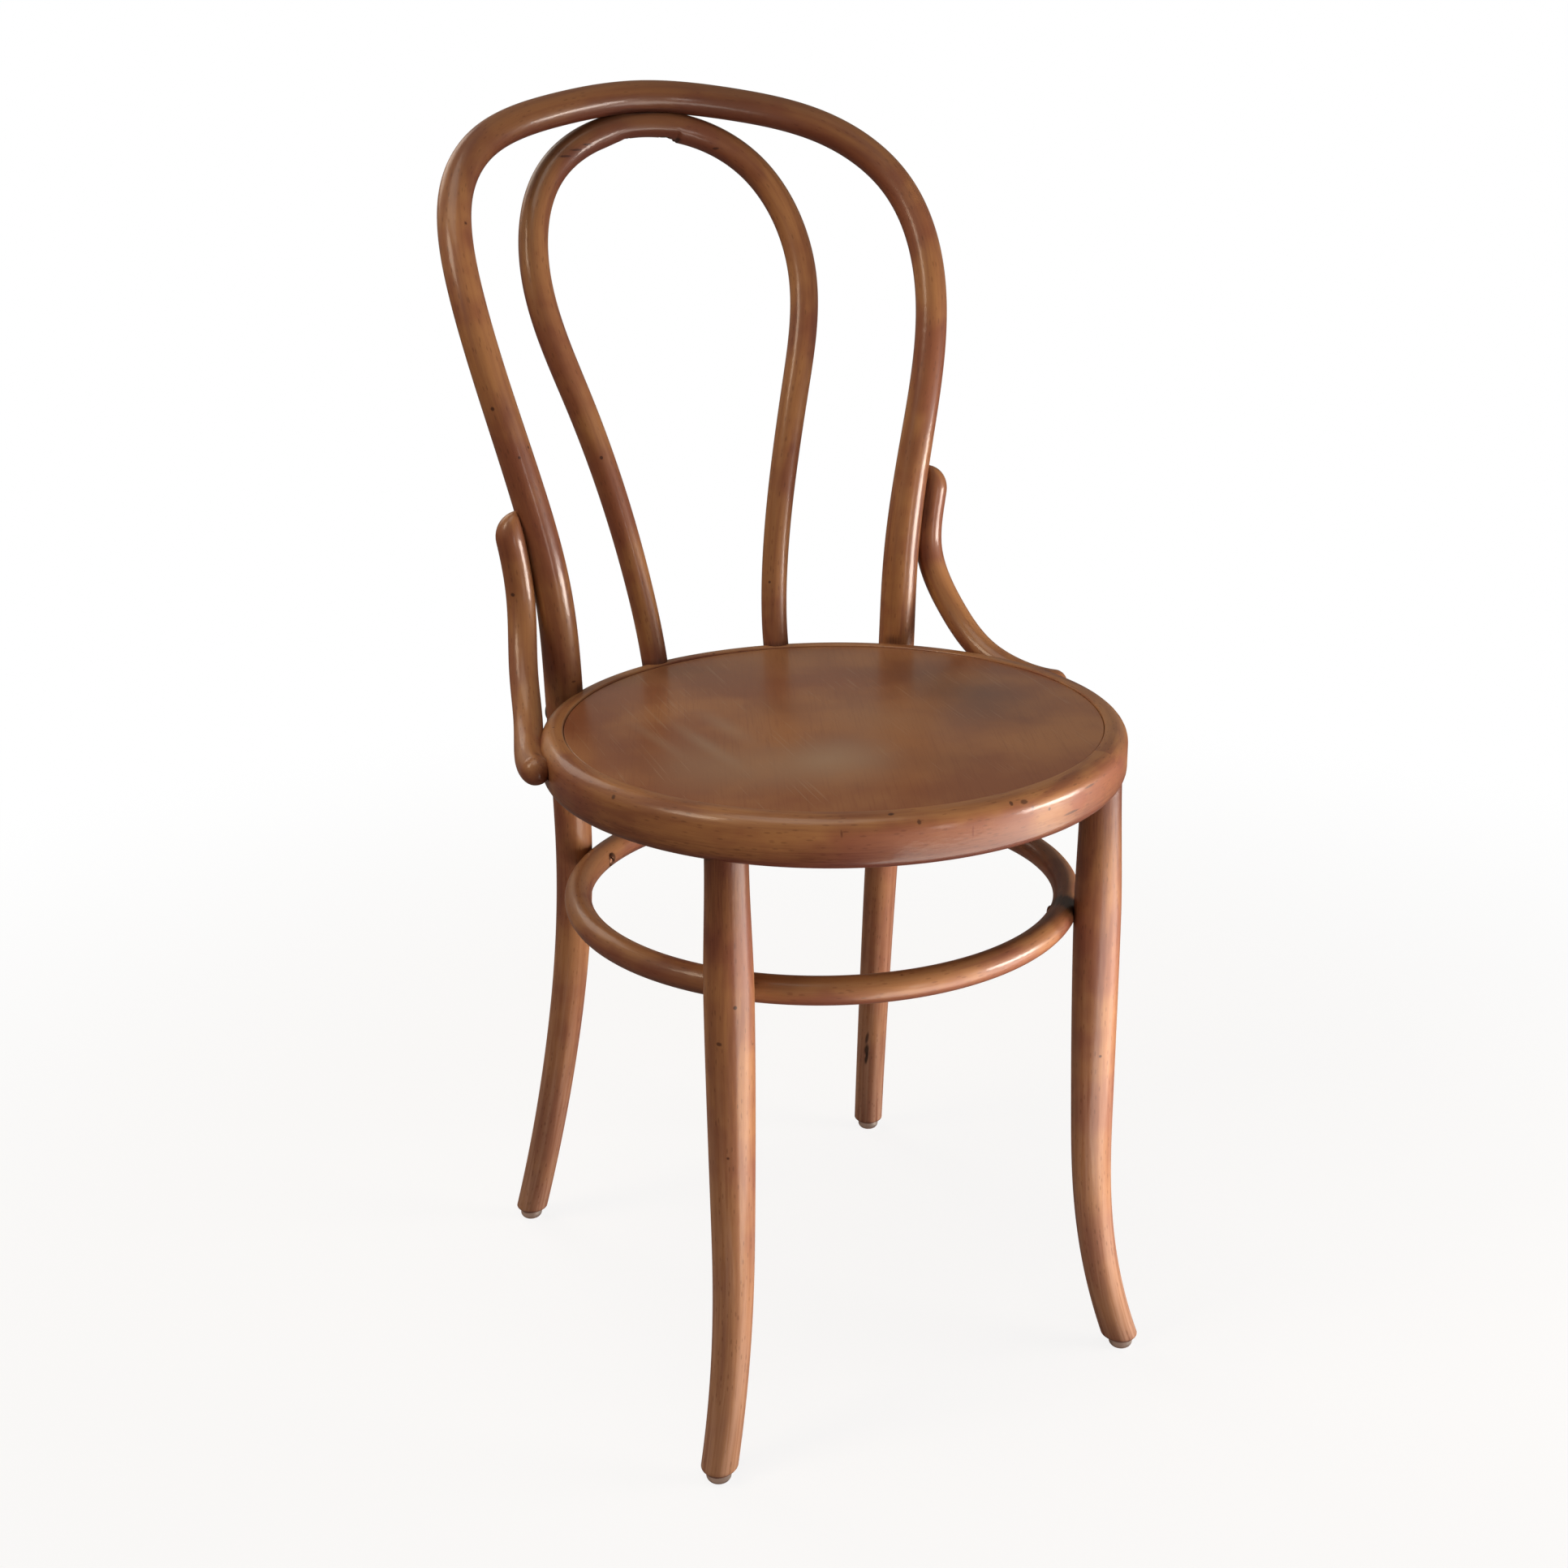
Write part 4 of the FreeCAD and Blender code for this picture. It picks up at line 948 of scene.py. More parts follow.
@dataclass(frozen=True)
class Metal:
    """Turned or plated steel: one colour, with fine rubbing wear that dulls its gloss in places."""

    colour: str
    roughness: float
    wear: Point = (1.5, 1.5, 1.5)
    dulled: float = 0.15

    def material(self, name: str) -> Material:
        """Make the metal's material.

        Args:
            name: The material's name.

        Returns:
            The material.
        """
        metal = Shades(name)
        rubbing = metal.pattern(metal.body, self.wear, 3.0)
        shine = add(metal.tree, "ShaderNodeMapRange", {
            "Value": rubbing, "From Min": 0.3, "From Max": 0.7, "To Min": self.roughness,
            "To Max": self.roughness + self.dulled})
        return metal.finished(Base_Color=linear(self.colour), Metallic=1.0, Roughness=shine)


@dataclass(frozen=True)
class RawBeech:
    """Unfinished beech dowel: pale, matt and dry, with fine darker fibres along X, as the dowels lie."""

    wood: str = "#C9A77C"
    fibre_tone: str = "#A98257"
    fibre: Point = (9.0, 0.8, 0.8)
    roughness: float = 0.6

    def material(self, name: str) -> Material:
        """Make the dowels' material.

        Args:
            name: The material's name.

        Returns:
            The material.
        """
        raw = Shades(name)
        fibres = raw.pattern(raw.body, self.fibre, 3.0)
        tone = raw.laid(linear(self.wood), self.fibre_tone, fibres, (0.42, 0.68))
        return raw.finished(Base_Color=tone, Roughness=self.roughness)


# The chair's sub-assemblies


@dataclass
class ChairPlan:
    """The sizes that more than one piece shares, in mm, and the leg ring's joints in degrees from +Y."""

    seat_radius: float = 198.0
    seat_top: float = 467.0
    ring_bottom: float = 434.0
    stretcher_height: float = 337.0
    stretcher_centre_y: float = 18.0
    stretcher_radius: float = 171.5
    stretcher_tube: float = 9.4
    stretcher_reach: float = 179.5
    ring_joints: tuple[float, ...] = (43.2, 135.0, 225.0, 316.8)
    foot_height: float = 7.0
    foot_chamfer: float = 3.5
    foot_blend: float = 45.0
    foot_gap: float = 2.0

    @property
    def ring_middle(self) -> float:
        """The height of the middle of the seat ring."""
        return (self.seat_top + self.ring_bottom) / 2.0

    def stretcher_centre(self) -> np.ndarray:
        """The middle of the leg ring."""
        return np.array([0.0, self.stretcher_centre_y, self.stretcher_height])


def foot_rings(plan: ChairPlan, line: BentLine, radius: Callable[[np.ndarray], np.ndarray],
               last_share: float) -> tuple[np.ndarray, np.ndarray]:
    """Return the lengths and radii of the rings that make a sawn and chamfered foot.

    Args:
        plan: The shared sizes.
        line: The rod's axis, rising from its foot.
        radius: The rod's radius at given heights.
        last_share: The share of the line that rises.

    Returns:
        Lengths along the line and the radius at each.
    """
    chamfer = plan.foot_chamfer
    rises = np.array([0.0, 0.25, chamfer - 0.4, chamfer, chamfer + 0.5])
    insets = np.array([chamfer + 0.4, chamfer, 0.5, 0.2, 0.0])
    heights = plan.foot_height + rises
    lengths = np.array([line.length_at_height(height, last_share) for height in heights])
    return lengths, radius(heights) - insets


def level_share(plan: ChairPlan, heights: np.ndarray) -> np.ndarray:
    """Return how far each ring of a foot is turned level: wholly at the chamfer, not at all above."""
    return smooth((plan.foot_height + plan.foot_chamfer + plan.foot_blend - heights) / plan.foot_blend)


@dataclass
class BackHoop:
    """The long rod that is both rear legs and the back's outer hoop."""

    plan: ChairPlan
    foot_radius: float = 11.9
    seat_rod_radius: float = 13.6
    top_radius: float = 11.6
    thinning_rise: float = 270.0
    seat_angle: float = 41.9
    seat_overlap: float = 8.0
    bolt_depth: float = 3.5
    bolt_recess: float = 9.0
    spacing: float = 3.0
    sides: int = 60
    grain_turn: float = 0.4
    leg_knots: tuple[Point, ...] = ((158.0, 234.0, 0.0), (139.0, 188.0, 169.0))
    back_knots: tuple[Point, ...] = ((140.5, 151.5, 537.0), (155.5, 156.5, 616.0), (179.5, 181.0, 737.0),
                                     (170.0, 222.5, 804.0), (136.0, 256.0, 837.0), (70.0, 281.5, 856.5))
    top_knot: Point = (0.0, 292.0, 863.5)
    marks: tuple[Mark, ...] = (
        # painted shade over the top of the hoop
        Mark((60.0, 280.0, 858.0), (130.0, 60.0, 50.0), 0.45, "#4A2A1B", 1.2),
        Mark((-176.1, 153.8, 669.3), (1.4, 3.0, 1.6)),
        Mark((-161.7, 146.3, 636.2), (1.2, 3.0, 1.2)),
        Mark((-133.5, 137.9, 476.0), (2.0, 3.0, 0.9), 0.6),
        Mark((138.0, 201.0, 85.0), (1.2, 4.0, 13.0), 0.9, CRACK, 0.7),
        Mark((136.8, 198.5, 94.0), (1.8, 4.0, 12.0), 0.9, CRACK, 0.7),
        Mark((135.4, 195.0, 107.0), (1.2, 4.0, 14.0), 0.8, CRACK, 0.7),
        # dirt with painted contact shade round the uprights' feet on the seat
        *both_sides(Mark((-123.0, 137.0, 469.0), (13.0, 13.0, 7.0), 0.8, DIRT_AND_CONTACT_SHADE, 0.9)),
        # painted shade on the hoop's underside where the loop meets it
        Mark((0.0, 290.0, 852.0), (46.0, 16.0, 4.5), 0.8, CONTACT_SHADE),
    )

    def radius(self, heights: np.ndarray) -> np.ndarray:
        """Return the rod's radius at each height.

        Args:
            heights: Heights above the floor, in mm.

        Returns:
            The radii, in mm.
        """
        middle = self.plan.ring_middle
        low = self.foot_radius + smooth(heights / middle) * (self.seat_rod_radius - self.foot_radius)
        share = smooth((heights - middle) / self.thinning_rise)
        high = self.seat_rod_radius + share * (self.top_radius - self.seat_rod_radius)
        return np.where(heights < middle, low, high)

    def line(self) -> BentLine:
        """Return the hoop's axis.

        Returns:
            The line from the left foot over the top to the right foot.
        """
        plan = self.plan
        at_ring = float(self.radius(np.array([plan.stretcher_height]))[0])
        aside = polar(plan.stretcher_reach + at_ring, plan.ring_joints[0], 0.0)
        half = np.array([*self.leg_knots, aside + plan.stretcher_centre(), self.seat_point(self.seat_angle),
                         *self.back_knots])
        return BentLine(np.concatenate([half, [self.top_knot], mirrored(half[::-1])]))

    def seat_point(self, angle: float, outwards: float = 0.0) -> np.ndarray:
        """Return the place on or outside the hoop's axis where it stands against the seat ring."""
        reach = self.plan.seat_radius + self.seat_rod_radius - self.seat_overlap + outwards
        return polar(reach, angle, self.plan.ring_middle)

    def build(self, sweep: RodSweep, finish: Material) -> Object:
        """Sweep the hoop, saw both feet level and bore the recesses of the two bolts' heads.

        Args:
            sweep: The tree that sweeps rods.
            finish: The material.

        Returns:
            The hoop.
        """
        line = self.line()
        foot_lengths, foot_radii = foot_rings(self.plan, line, self.radius, 0.5)
        start = foot_lengths[-1] + self.plan.foot_gap
        inner = np.linspace(start, line.length - start, int((line.length - 2.0 * start) / self.spacing))
        points = line.at(inner)
        lengths = np.concatenate([foot_lengths, inner, line.length - foot_lengths[::-1]])
        radii = np.concatenate([foot_radii, self.radius(points[:, 2]), foot_radii[::-1]])
        axis = line.at(lengths)
        hoop = sweep.make("bent_back_hoop", axis, radii, finish, level_share(self.plan, axis[:, 2]),
                          self.sides, self.grain_turn)
        angles = (self.seat_angle, -self.seat_angle)
        floors = [self.seat_point(angle, self.seat_rod_radius - self.bolt_depth) for angle in angles]
        return bored(hoop, floors, [polar(1.0, angle, 0.0) for angle in angles], self.bolt_recess)


@dataclass
class InnerLoop:
    """The loop inside the back, which stands in two sockets of the seat ring."""

    plan: ChairPlan
    foot_radius: float = 9.6
    top_radius: float = 10.6
    thickening_rise: float = 273.0
    socket_circle: float = 192.0
    socket_angle: float = 15.2
    socket_depth: float = 6.0
    spacing: float = 1.6
    sides: int = 56
    grain_turn: float = 1.3
    knots: tuple[Point, ...] = ((57.0, 199.0, 528.0), (87.5, 221.0, 656.0), (106.0, 246.0, 740.0),
                                (80.0, 278.0, 813.0))
    top_knot: Point = (0.0, 292.0, 843.7)
    scarf_start: float = -34.0
    scarf_step: float = 24.5
    scarf_run: float = 22.0
    scarf_depth: float = 2.0
    screw_across: float = 16.0
    screw_depth: float = 5.4
    screw_recess: float = 5.1
    marks: tuple[Mark, ...] = (
        Mark((-79.3, 203.9, 619.1), (1.4, 3.0, 1.4)),
        Mark((51.6, 277.5, 826.1), (2.6, 3.0, 1.0)),
        Mark((24.9, 285.5, 832.0), (2.4, 5.0, 2.6), 0.9),
        Mark((-70.0, 271.8, 824.6), (5.5, 3.0, 0.9), 0.85),
        Mark((-60.0, 274.0, 828.6), (6.0, 3.0, 0.8), 0.85),
        Mark((-51.0, 276.4, 832.0), (4.5, 3.0, 0.8), 0.8),
        Mark((-62.0, 274.0, 826.0), (26.0, 9.0, 7.0), 0.45, "#54302A", 1.0),
        # painted shade over the loop's top
        Mark((0.0, 285.0, 838.0), (80.0, 26.0, 26.0), 0.5, "#532C20", 1.1),
        # dirt with painted contact shade round the loop's feet on the seat
        *both_sides(Mark((-50.4, 185.3, 466.0), (16.0, 16.0, 6.0), 0.8, DIRT_AND_CONTACT_SHADE, 0.9)),
        # painted shade on the loop's top where it meets the hoop
        Mark((0.0, 292.0, 854.5), (42.0, 16.0, 3.5), 0.8, CONTACT_SHADE),
    )

    def radius(self, heights: np.ndarray) -> np.ndarray:
        """Return the rod's radius at each height."""
        share = smooth((heights - self.plan.seat_top) / self.thickening_rise)
        return self.foot_radius + share * (self.top_radius - self.foot_radius)

    def line(self) -> BentLine:
        """Return the loop's axis.

        Returns:
            The line from the left socket over the top to the right socket.
        """
        socket = polar(self.socket_circle, self.socket_angle, self.plan.seat_top - self.socket_depth)
        half = np.array([socket, *self.knots])
        return BentLine(np.concatenate([half, [self.top_knot], mirrored(half[::-1])]))

    def build(self, sweep: RodSweep, finish: Material) -> Object:
        """Sweep the loop, cut its scarf and bore the recesses of its two screws from below.

        Args:
            sweep: The tree that sweeps rods.
            finish: The material.

        Returns:
            The loop.
        """
        line = self.line()
        lengths = np.linspace(0.0, line.length, int(line.length / self.spacing))
        axis = line.at(lengths)
        loop = sweep.make("bent_inner_loop", axis, self.radius(axis[:, 2]), finish, None, self.sides,
                          self.grain_turn)
        self.scarf(loop, float(line.places[:, 2].max()))
        top = line.places[len(line.places) // 4:3 * len(line.places) // 4]
        seats = []
        for across in (self.screw_across, -self.screw_across):
            place = top[np.argmin(np.abs(top[:, 0] - across))]
            seats.append(place - np.array([0.0, 0.0, self.top_radius - self.screw_depth]))
        return bored(loop, seats, [np.array([0.0, 0.0, -1.0])] * 2, self.screw_recess)

    def scarf(self, piece: Object, middle: float) -> None:
        """Flatten the loop's top from below, from a soft start to the small step where its ends are joined.

        Args:
            piece: The swept loop.
            middle: The height of the axis at the loop's top, in mm.
        """
        for vertex in piece.data.vertices:
            across = vertex.co.x / MM
            below = middle - vertex.co.z / MM
            if self.scarf_start < across < self.scarf_step and 0.0 < below < 2.0 * self.top_radius:
                started = smooth((across - self.scarf_start) / self.scarf_run)
                share = started * smooth(below / self.top_radius)
                vertex.co.z += self.scarf_depth * float(share) * MM


@dataclass
class FrontLegs:
    """The two front legs, straight from the seat down and swept out at the foot."""

    plan: ChairPlan
    foot_radius: float = 12.3
    ring_radius: float = 16.0
    top_radius: float = 13.7
    top_inset: float = 16.0
    top_angle: float = 131.0
    top_hidden: float = 12.0
    flare_x: float = 22.6
    flare_y: float = 16.0
    flare_height: float = 190.0
    flare_power: float = 2.5
    flare_shares: tuple[float, ...] = (0.0, 0.1, 0.2, 0.3, 0.4, 0.55, 0.7, 1.0)
    spacing: float = 2.5
    sides: int = 60
    grain_turn: float = 2.0
    marks: tuple[Mark, ...] = (
        # painted shade under the seat ring on both front legs' tops
        Mark((-141.0, -122.0, 440.0), (50.0, 50.0, 80.0), 0.9, UNDER_SEAT_SHADE, 1.1),
        Mark((141.0, -122.0, 440.0), (50.0, 50.0, 90.0), 0.9, UNDER_SEAT_SHADE, 1.1),
        Mark((-141.4, -135.9, 340.0), (1.5, 3.0, 1.5)),
        Mark((-150.6, -130.6, 315.0), (1.5, 3.0, 1.5), 0.7),
        Mark((-147.8, -136.9, 250.0), (1.0, 3.0, 1.2), 0.7),
        Mark((124.0, -110.0, 341.0), (7.0, 9.0, 11.0), 0.8, METAL_DIRT),
        Mark((-124.0, -110.0, 341.0), (7.0, 9.0, 11.0), 0.6, METAL_DIRT),
        Mark((167.0, -156.0, 12.0), (1.3, 4.0, 7.0), 0.8),
    )

    def radius(self, heights: np.ndarray) -> np.ndarray:
        """Return the leg's radius at each height.

        Args:
            heights: Heights above the floor, in mm.

        Returns:
            The radii, in mm.
        """
        ring = self.plan.stretcher_height
        low = self.foot_radius + smooth(heights / ring) * (self.ring_radius - self.foot_radius)
        share = smooth((heights - ring) / (self.plan.ring_bottom - ring))
        high = self.ring_radius + share * (self.top_radius - self.ring_radius)
        return np.where(heights < ring, low, high)

    def line(self) -> BentLine:
        """Return the left leg's axis.

        Returns:
            The line from below the foot up into the seat ring.
        """
        plan = self.plan
        top = polar(plan.seat_radius - self.top_inset, self.top_angle, plan.ring_bottom)
        beside_ring = polar(plan.stretcher_reach + self.ring_radius, plan.ring_joints[1], 0.0)
        middle = beside_ring + plan.stretcher_centre()
        slope = (middle - top) / (top[2] - middle[2])
        heights = [self.flare_height * share for share in self.flare_shares]
        knots = []
        for height in heights + [plan.stretcher_height, plan.ring_middle]:
            straight = top + slope * (top[2] - height)
            sweep = max(1.0 - height / self.flare_height, 0.0) ** self.flare_power
            knots.append((straight[0] + self.flare_x * sweep, straight[1] - self.flare_y * sweep, height))
        return BentLine(np.array(knots))

    def build(self, sweep: RodSweep, side: Side, finish: Material) -> Object:
        """Sweep one leg, its foot sawn level and its top hidden in the ring.

        Args:
            sweep: The tree that sweeps rods.
            side: The side that it stands on.
            finish: The material.

        Returns:
            The leg.
        """
        line = self.line()
        foot_lengths, foot_radii = foot_rings(self.plan, line, self.radius, 1.0)
        start = foot_lengths[-1] + self.plan.foot_gap
        end = line.length_at_height(self.plan.ring_bottom + self.top_hidden, 1.0)
        inner = np.linspace(start, end, int((end - start) / self.spacing))
        lengths = np.concatenate([foot_lengths, inner])
        axis = line.at(lengths)
        radii = np.concatenate([foot_radii, self.radius(axis[len(foot_lengths):, 2])])
        axis[:, 0] *= side.value
        name = "front_leg_turned_" + side.name.lower()
        return sweep.make(name, axis, radii, finish, level_share(self.plan, axis[:, 2]), self.sides,
                          self.grain_turn + side.value)


@dataclass
class SideBrackets:
    """The short bent brackets that run from the uprights forwards to the sides of the seat ring."""

    plan: ChairPlan
    tube: float = 10.0
    saddle: float = 0.8
    ring_saddle: float = 1.5
    top_rise: float = 132.0
    end_trim: float = 4.0
    leave_rise: float = 68.0
    leave_gap: float = 2.0
    drop: float = 14.0
    bend_knot: Point = (173.0, 130.0, 491.0)
    landings: tuple[Point, ...] = ((1.5, 61.0, 12.0), (-1.0, 71.0, 0.0), (-1.5, 80.5, 0.0))
    spacing: float = 2.0
    end_steps: int = 12
    sides: int = 48
    marks: tuple[Mark, ...] = (
        Mark((-172.1, 145.9, 542.1), (1.5, 3.0, 1.5)),
        # painted shade where the brackets meet the seat ring and lie beside the uprights
        *both_sides(Mark((-198.0, 38.0, 455.0), (5.0, 10.0, 9.0), 0.6, "#33181A")),
        *both_sides(Mark((-160.0, 152.0, 570.0), (6.0, 9.0, 34.0), 0.5, "#3D1D14")),
    )

    def beside_upright(self, hoop: BackHoop, rise: float, gap: float) -> np.ndarray:
        """Return the axis' place where the bracket stands beside the upright.

        Args:
            hoop: The hoop that the bracket lies against.
            rise: Height above the seat, in mm.
            gap: Space between bracket and upright, in mm.

        Returns:
            The place, in mm.
        """
        hoop_line = hoop.line()
        length = hoop_line.length_at_height(self.plan.seat_top + rise)
        upright = hoop_line.at(np.array([length]))[0]
        reach = float(hoop.radius(upright[2:3])[0]) + self.tube - self.saddle + gap
        return upright + np.array([reach, 0.0, 0.0])

    def line(self, hoop: BackHoop) -> BentLine:
        """Return the left bracket's axis.

        Args:
            hoop: The hoop that the bracket lies against.

        Returns:
            The line from the upright down to the ring.
        """
        plan = self.plan
        top = self.top_rise + self.end_trim
        land = plan.seat_radius + self.tube - self.ring_saddle
        height = plan.seat_top - self.drop
        return BentLine(np.array([
            self.beside_upright(hoop, top, 0.0),
            self.beside_upright(hoop, (top + self.leave_rise) / 2.0, 0.0),
            self.beside_upright(hoop, self.leave_rise, self.leave_gap),
            self.bend_knot,
            *(polar(land + out, angle, height + rise) for out, angle, rise in self.landings),
        ]))

    def build(self, sweep: RodSweep, hoop: BackHoop, side: Side,
              finish: Material) -> Object:
        """Sweep one bracket, its upper end rounded over towards the upright and its lower end round.

        Args:
            sweep: The tree that sweeps rods.
            hoop: The hoop that the bracket lies against.
            side: The side that it stands on.
            finish: The material.

        Returns:
            The bracket.
        """
        line = self.line(hoop)
        turns = np.linspace(0.01, 1.0, self.end_steps) * math.pi / 2.0
        over = 2.0 * self.tube
        shoulder = float(np.interp(self.plan.seat_top + self.top_rise - over,
                                   line.places[::-1, 2], line.lengths[::-1]))
        top_lengths = shoulder - over * np.cos(turns)
        top_radii = self.tube * np.sin(turns)
        ball_lengths = line.length + self.tube * np.cos(turns[::-1])
        start, end = shoulder + self.spacing, line.length - self.spacing
        inner = np.linspace(start, end, int((end - start) / self.spacing))
        lengths = np.concatenate([top_lengths, inner, ball_lengths])
        radii = np.concatenate([top_radii, np.full(len(inner), self.tube), self.tube * np.sin(turns[::-1])])
        lean = np.zeros((len(lengths), 3))
        lean[:self.end_steps, 0] = -side.value * (self.tube - top_radii)
        axis = line.at(lengths)
        axis[:, 0] *= side.value
        name = "bent_bracket_" + side.name.lower()
        return sweep.make(name, axis, radii, finish, None, self.sides, side.value, lean)


@dataclass
class Seat:
    """The bent seat ring and the plywood panel in its rebate."""

    plan: ChairPlan
    ring_inner: float = 166.0
    rebate: float = 182.2
    ledge: float = 461.8
    panel_radius: float = 182.0
    panel_top: float = PANEL_TOP
    ring_steps: int = 288
    ring_seam: float = 140.0
    panel_steps: int = 240
    ring_marks: tuple[Mark, ...] = (
        # painted shade over the ring's lower part
        Mark((0.0, 0.0, 430.0), (600.0, 600.0, 24.0), 0.95, "#45180F", 1.0),
        Mark((-58.0, -181.0, 467.0), (2.0, 1.6, 3.0)),
        Mark((-44.6, -191.6, 463.0), (1.6, 2.0, 2.0), 0.7),
        Mark((-11.1, -197.7, 452.5), (1.0, 3.0, 5.0), 0.45, "#581C12", 0.9),
        Mark((27.4, -193.6, 463.5), (3.0, 2.0, 1.6), 0.7),
        Mark((33.0, -195.5, 459.0), (1.4, 2.0, 1.8), 0.6),
        Mark((-88.9, -176.7, 458.3), (0.8, 3.0, 3.0), 0.55, soft=0.9),
        Mark((17.9, -194.0, 464.3), (1.5, 2.0, 1.5)),
        Mark((75.3, -183.1, 452.0), (11.0, 9.0, 7.0), 0.55, "#7A3B20"),
        Mark((68.0, -186.0, 447.0), (12.0, 4.0, 1.0), 0.65),
        Mark((86.0, -178.0, 458.5), (9.0, 4.0, 0.9), 0.65),
        Mark((-163.0, -40.0, 466.8), (1.5, 2.5, 1.5), 0.8),
        Mark((-186.0, -62.0, 462.0), (2.0, 2.0, 1.6), 0.7),
    )
    panel_marks: tuple[Mark, ...] = (
        on_panel(-44.0, -74.0, 76.0, 62.0, 0.8, "#A2886F"),
        on_panel(-112.0, -50.0, 60.0, 70.0, 0.5, "#967A60", 1.2),
        on_panel(40.0, -20.0, 70.0, 90.0, 0.45, "#8F7460"),
        # the next three patches: painted reflections of the uprights and the loop
        on_panel(110.0, 20.0, 60.0, 120.0, 0.7, "#5E473E", 1.2),
        on_panel(-20.0, 130.0, 150.0, 60.0, 0.5, "#7A5038", 1.2),
        on_panel(-160.0, 30.0, 40.0, 90.0, 0.5, "#6E3C28", 1.2),
        on_panel(-98.0, -8.0, 9.0, 75.0, 0.42, RUBBED),
        on_panel(-70.0, 20.0, 13.0, 62.0, 0.36, RUBBED),
        on_panel(-122.0, 20.0, 7.0, 60.0, 0.3, RUBBED),
        on_panel(-20.0, 40.0, 34.0, 44.0, 0.45, "#6A3E28"),
        on_panel(20.0, -110.0, 48.0, 38.0, 0.4, "#6F4630"),
    )

    def ring(self, finish: Material) -> Object:
        """Turn the ring's section.

        Args:
            finish: The material.

        Returns:
            The ring.
        """
        plan = self.plan
        outline = rounded([
            (self.ring_inner, plan.ring_bottom, 2.0),
            (plan.seat_radius, plan.ring_bottom, 8.0),
            (plan.seat_radius, plan.seat_top, 10.0),
            (self.rebate, plan.seat_top, 1.4),
            (self.rebate, self.ledge, 0.0),
            (self.ring_inner, self.ledge, 0.0),
        ])
        return turned("bent_seat_ring", outline, self.ring_steps, finish, True, None, self.ring_seam)

    def panel(self, finish: Material) -> Object:
        """Turn the panel's disc.

        Args:
            finish: The material.

        Returns:
            The panel.
        """
        outline = rounded([
            (0.0, self.ledge, 0.0),
            (self.panel_radius, self.ledge, 0.0),
            (self.panel_radius, self.panel_top, 0.8),
            (0.0, self.panel_top, 0.0),
        ], 4, False)
        return turned("plywood_seat_panel", outline, self.panel_steps, finish, False)


@dataclass
class LegRing:
    """The round stretcher between the four legs."""

    plan: ChairPlan
    screw_depth: float = 2.0
    screw_recess: float = 5.1
    steps: int = 360
    sides: int = 40
    seam: float = 128.0
    marks: tuple[Mark, ...] = (
        Mark((122.0, -104.0, 342.0), (12.0, 14.0, 9.0), 0.85, "#2E2623"),
        Mark((106.0, -126.0, 340.0), (20.0, 12.0, 12.0), 0.5, "#5A2618"),
        Mark((-122.0, -104.0, 338.0), (11.0, 13.0, 11.0), 0.6, JOINT),
        *both_sides(Mark((-124.0, 148.0, 338.0), (9.0, 9.0, 11.0), 0.6, JOINT)),
        # painted shade in the rear screw recesses and round their rims
        *both_sides(Mark((-111.0, 136.1, 337.0), (5.6, 5.6, 5.6), 0.95, "#1E1210")),
    )

    def screw_seats(self) -> list[np.ndarray]:
        """Return where the heads of the four screws sit, inside the ring."""
        reach = self.plan.stretcher_radius - self.plan.stretcher_tube + self.screw_depth
        return [polar(reach, angle, 0.0) + self.plan.stretcher_centre() for angle in self.plan.ring_joints]

    def build(self, finish: Material) -> Object:
        """Turn the ring's round section and bore the recesses of its screws.

        Args:
            finish: The material.

        Returns:
            The ring.
        """
        plan = self.plan
        turns = np.linspace(0.0, 2.0 * math.pi, self.sides, endpoint=False)
        outline = np.stack([plan.stretcher_radius + plan.stretcher_tube * np.cos(turns),
                            plan.stretcher_tube * np.sin(turns)], axis=1)
        ring = turned("bent_leg_ring", outline, self.steps, finish, True, plan.stretcher_centre(),
                      self.seam)
        inwards = [-polar(1.0, angle, 0.0) for angle in plan.ring_joints]
        return bored(ring, self.screw_seats(), inwards, self.screw_recess)


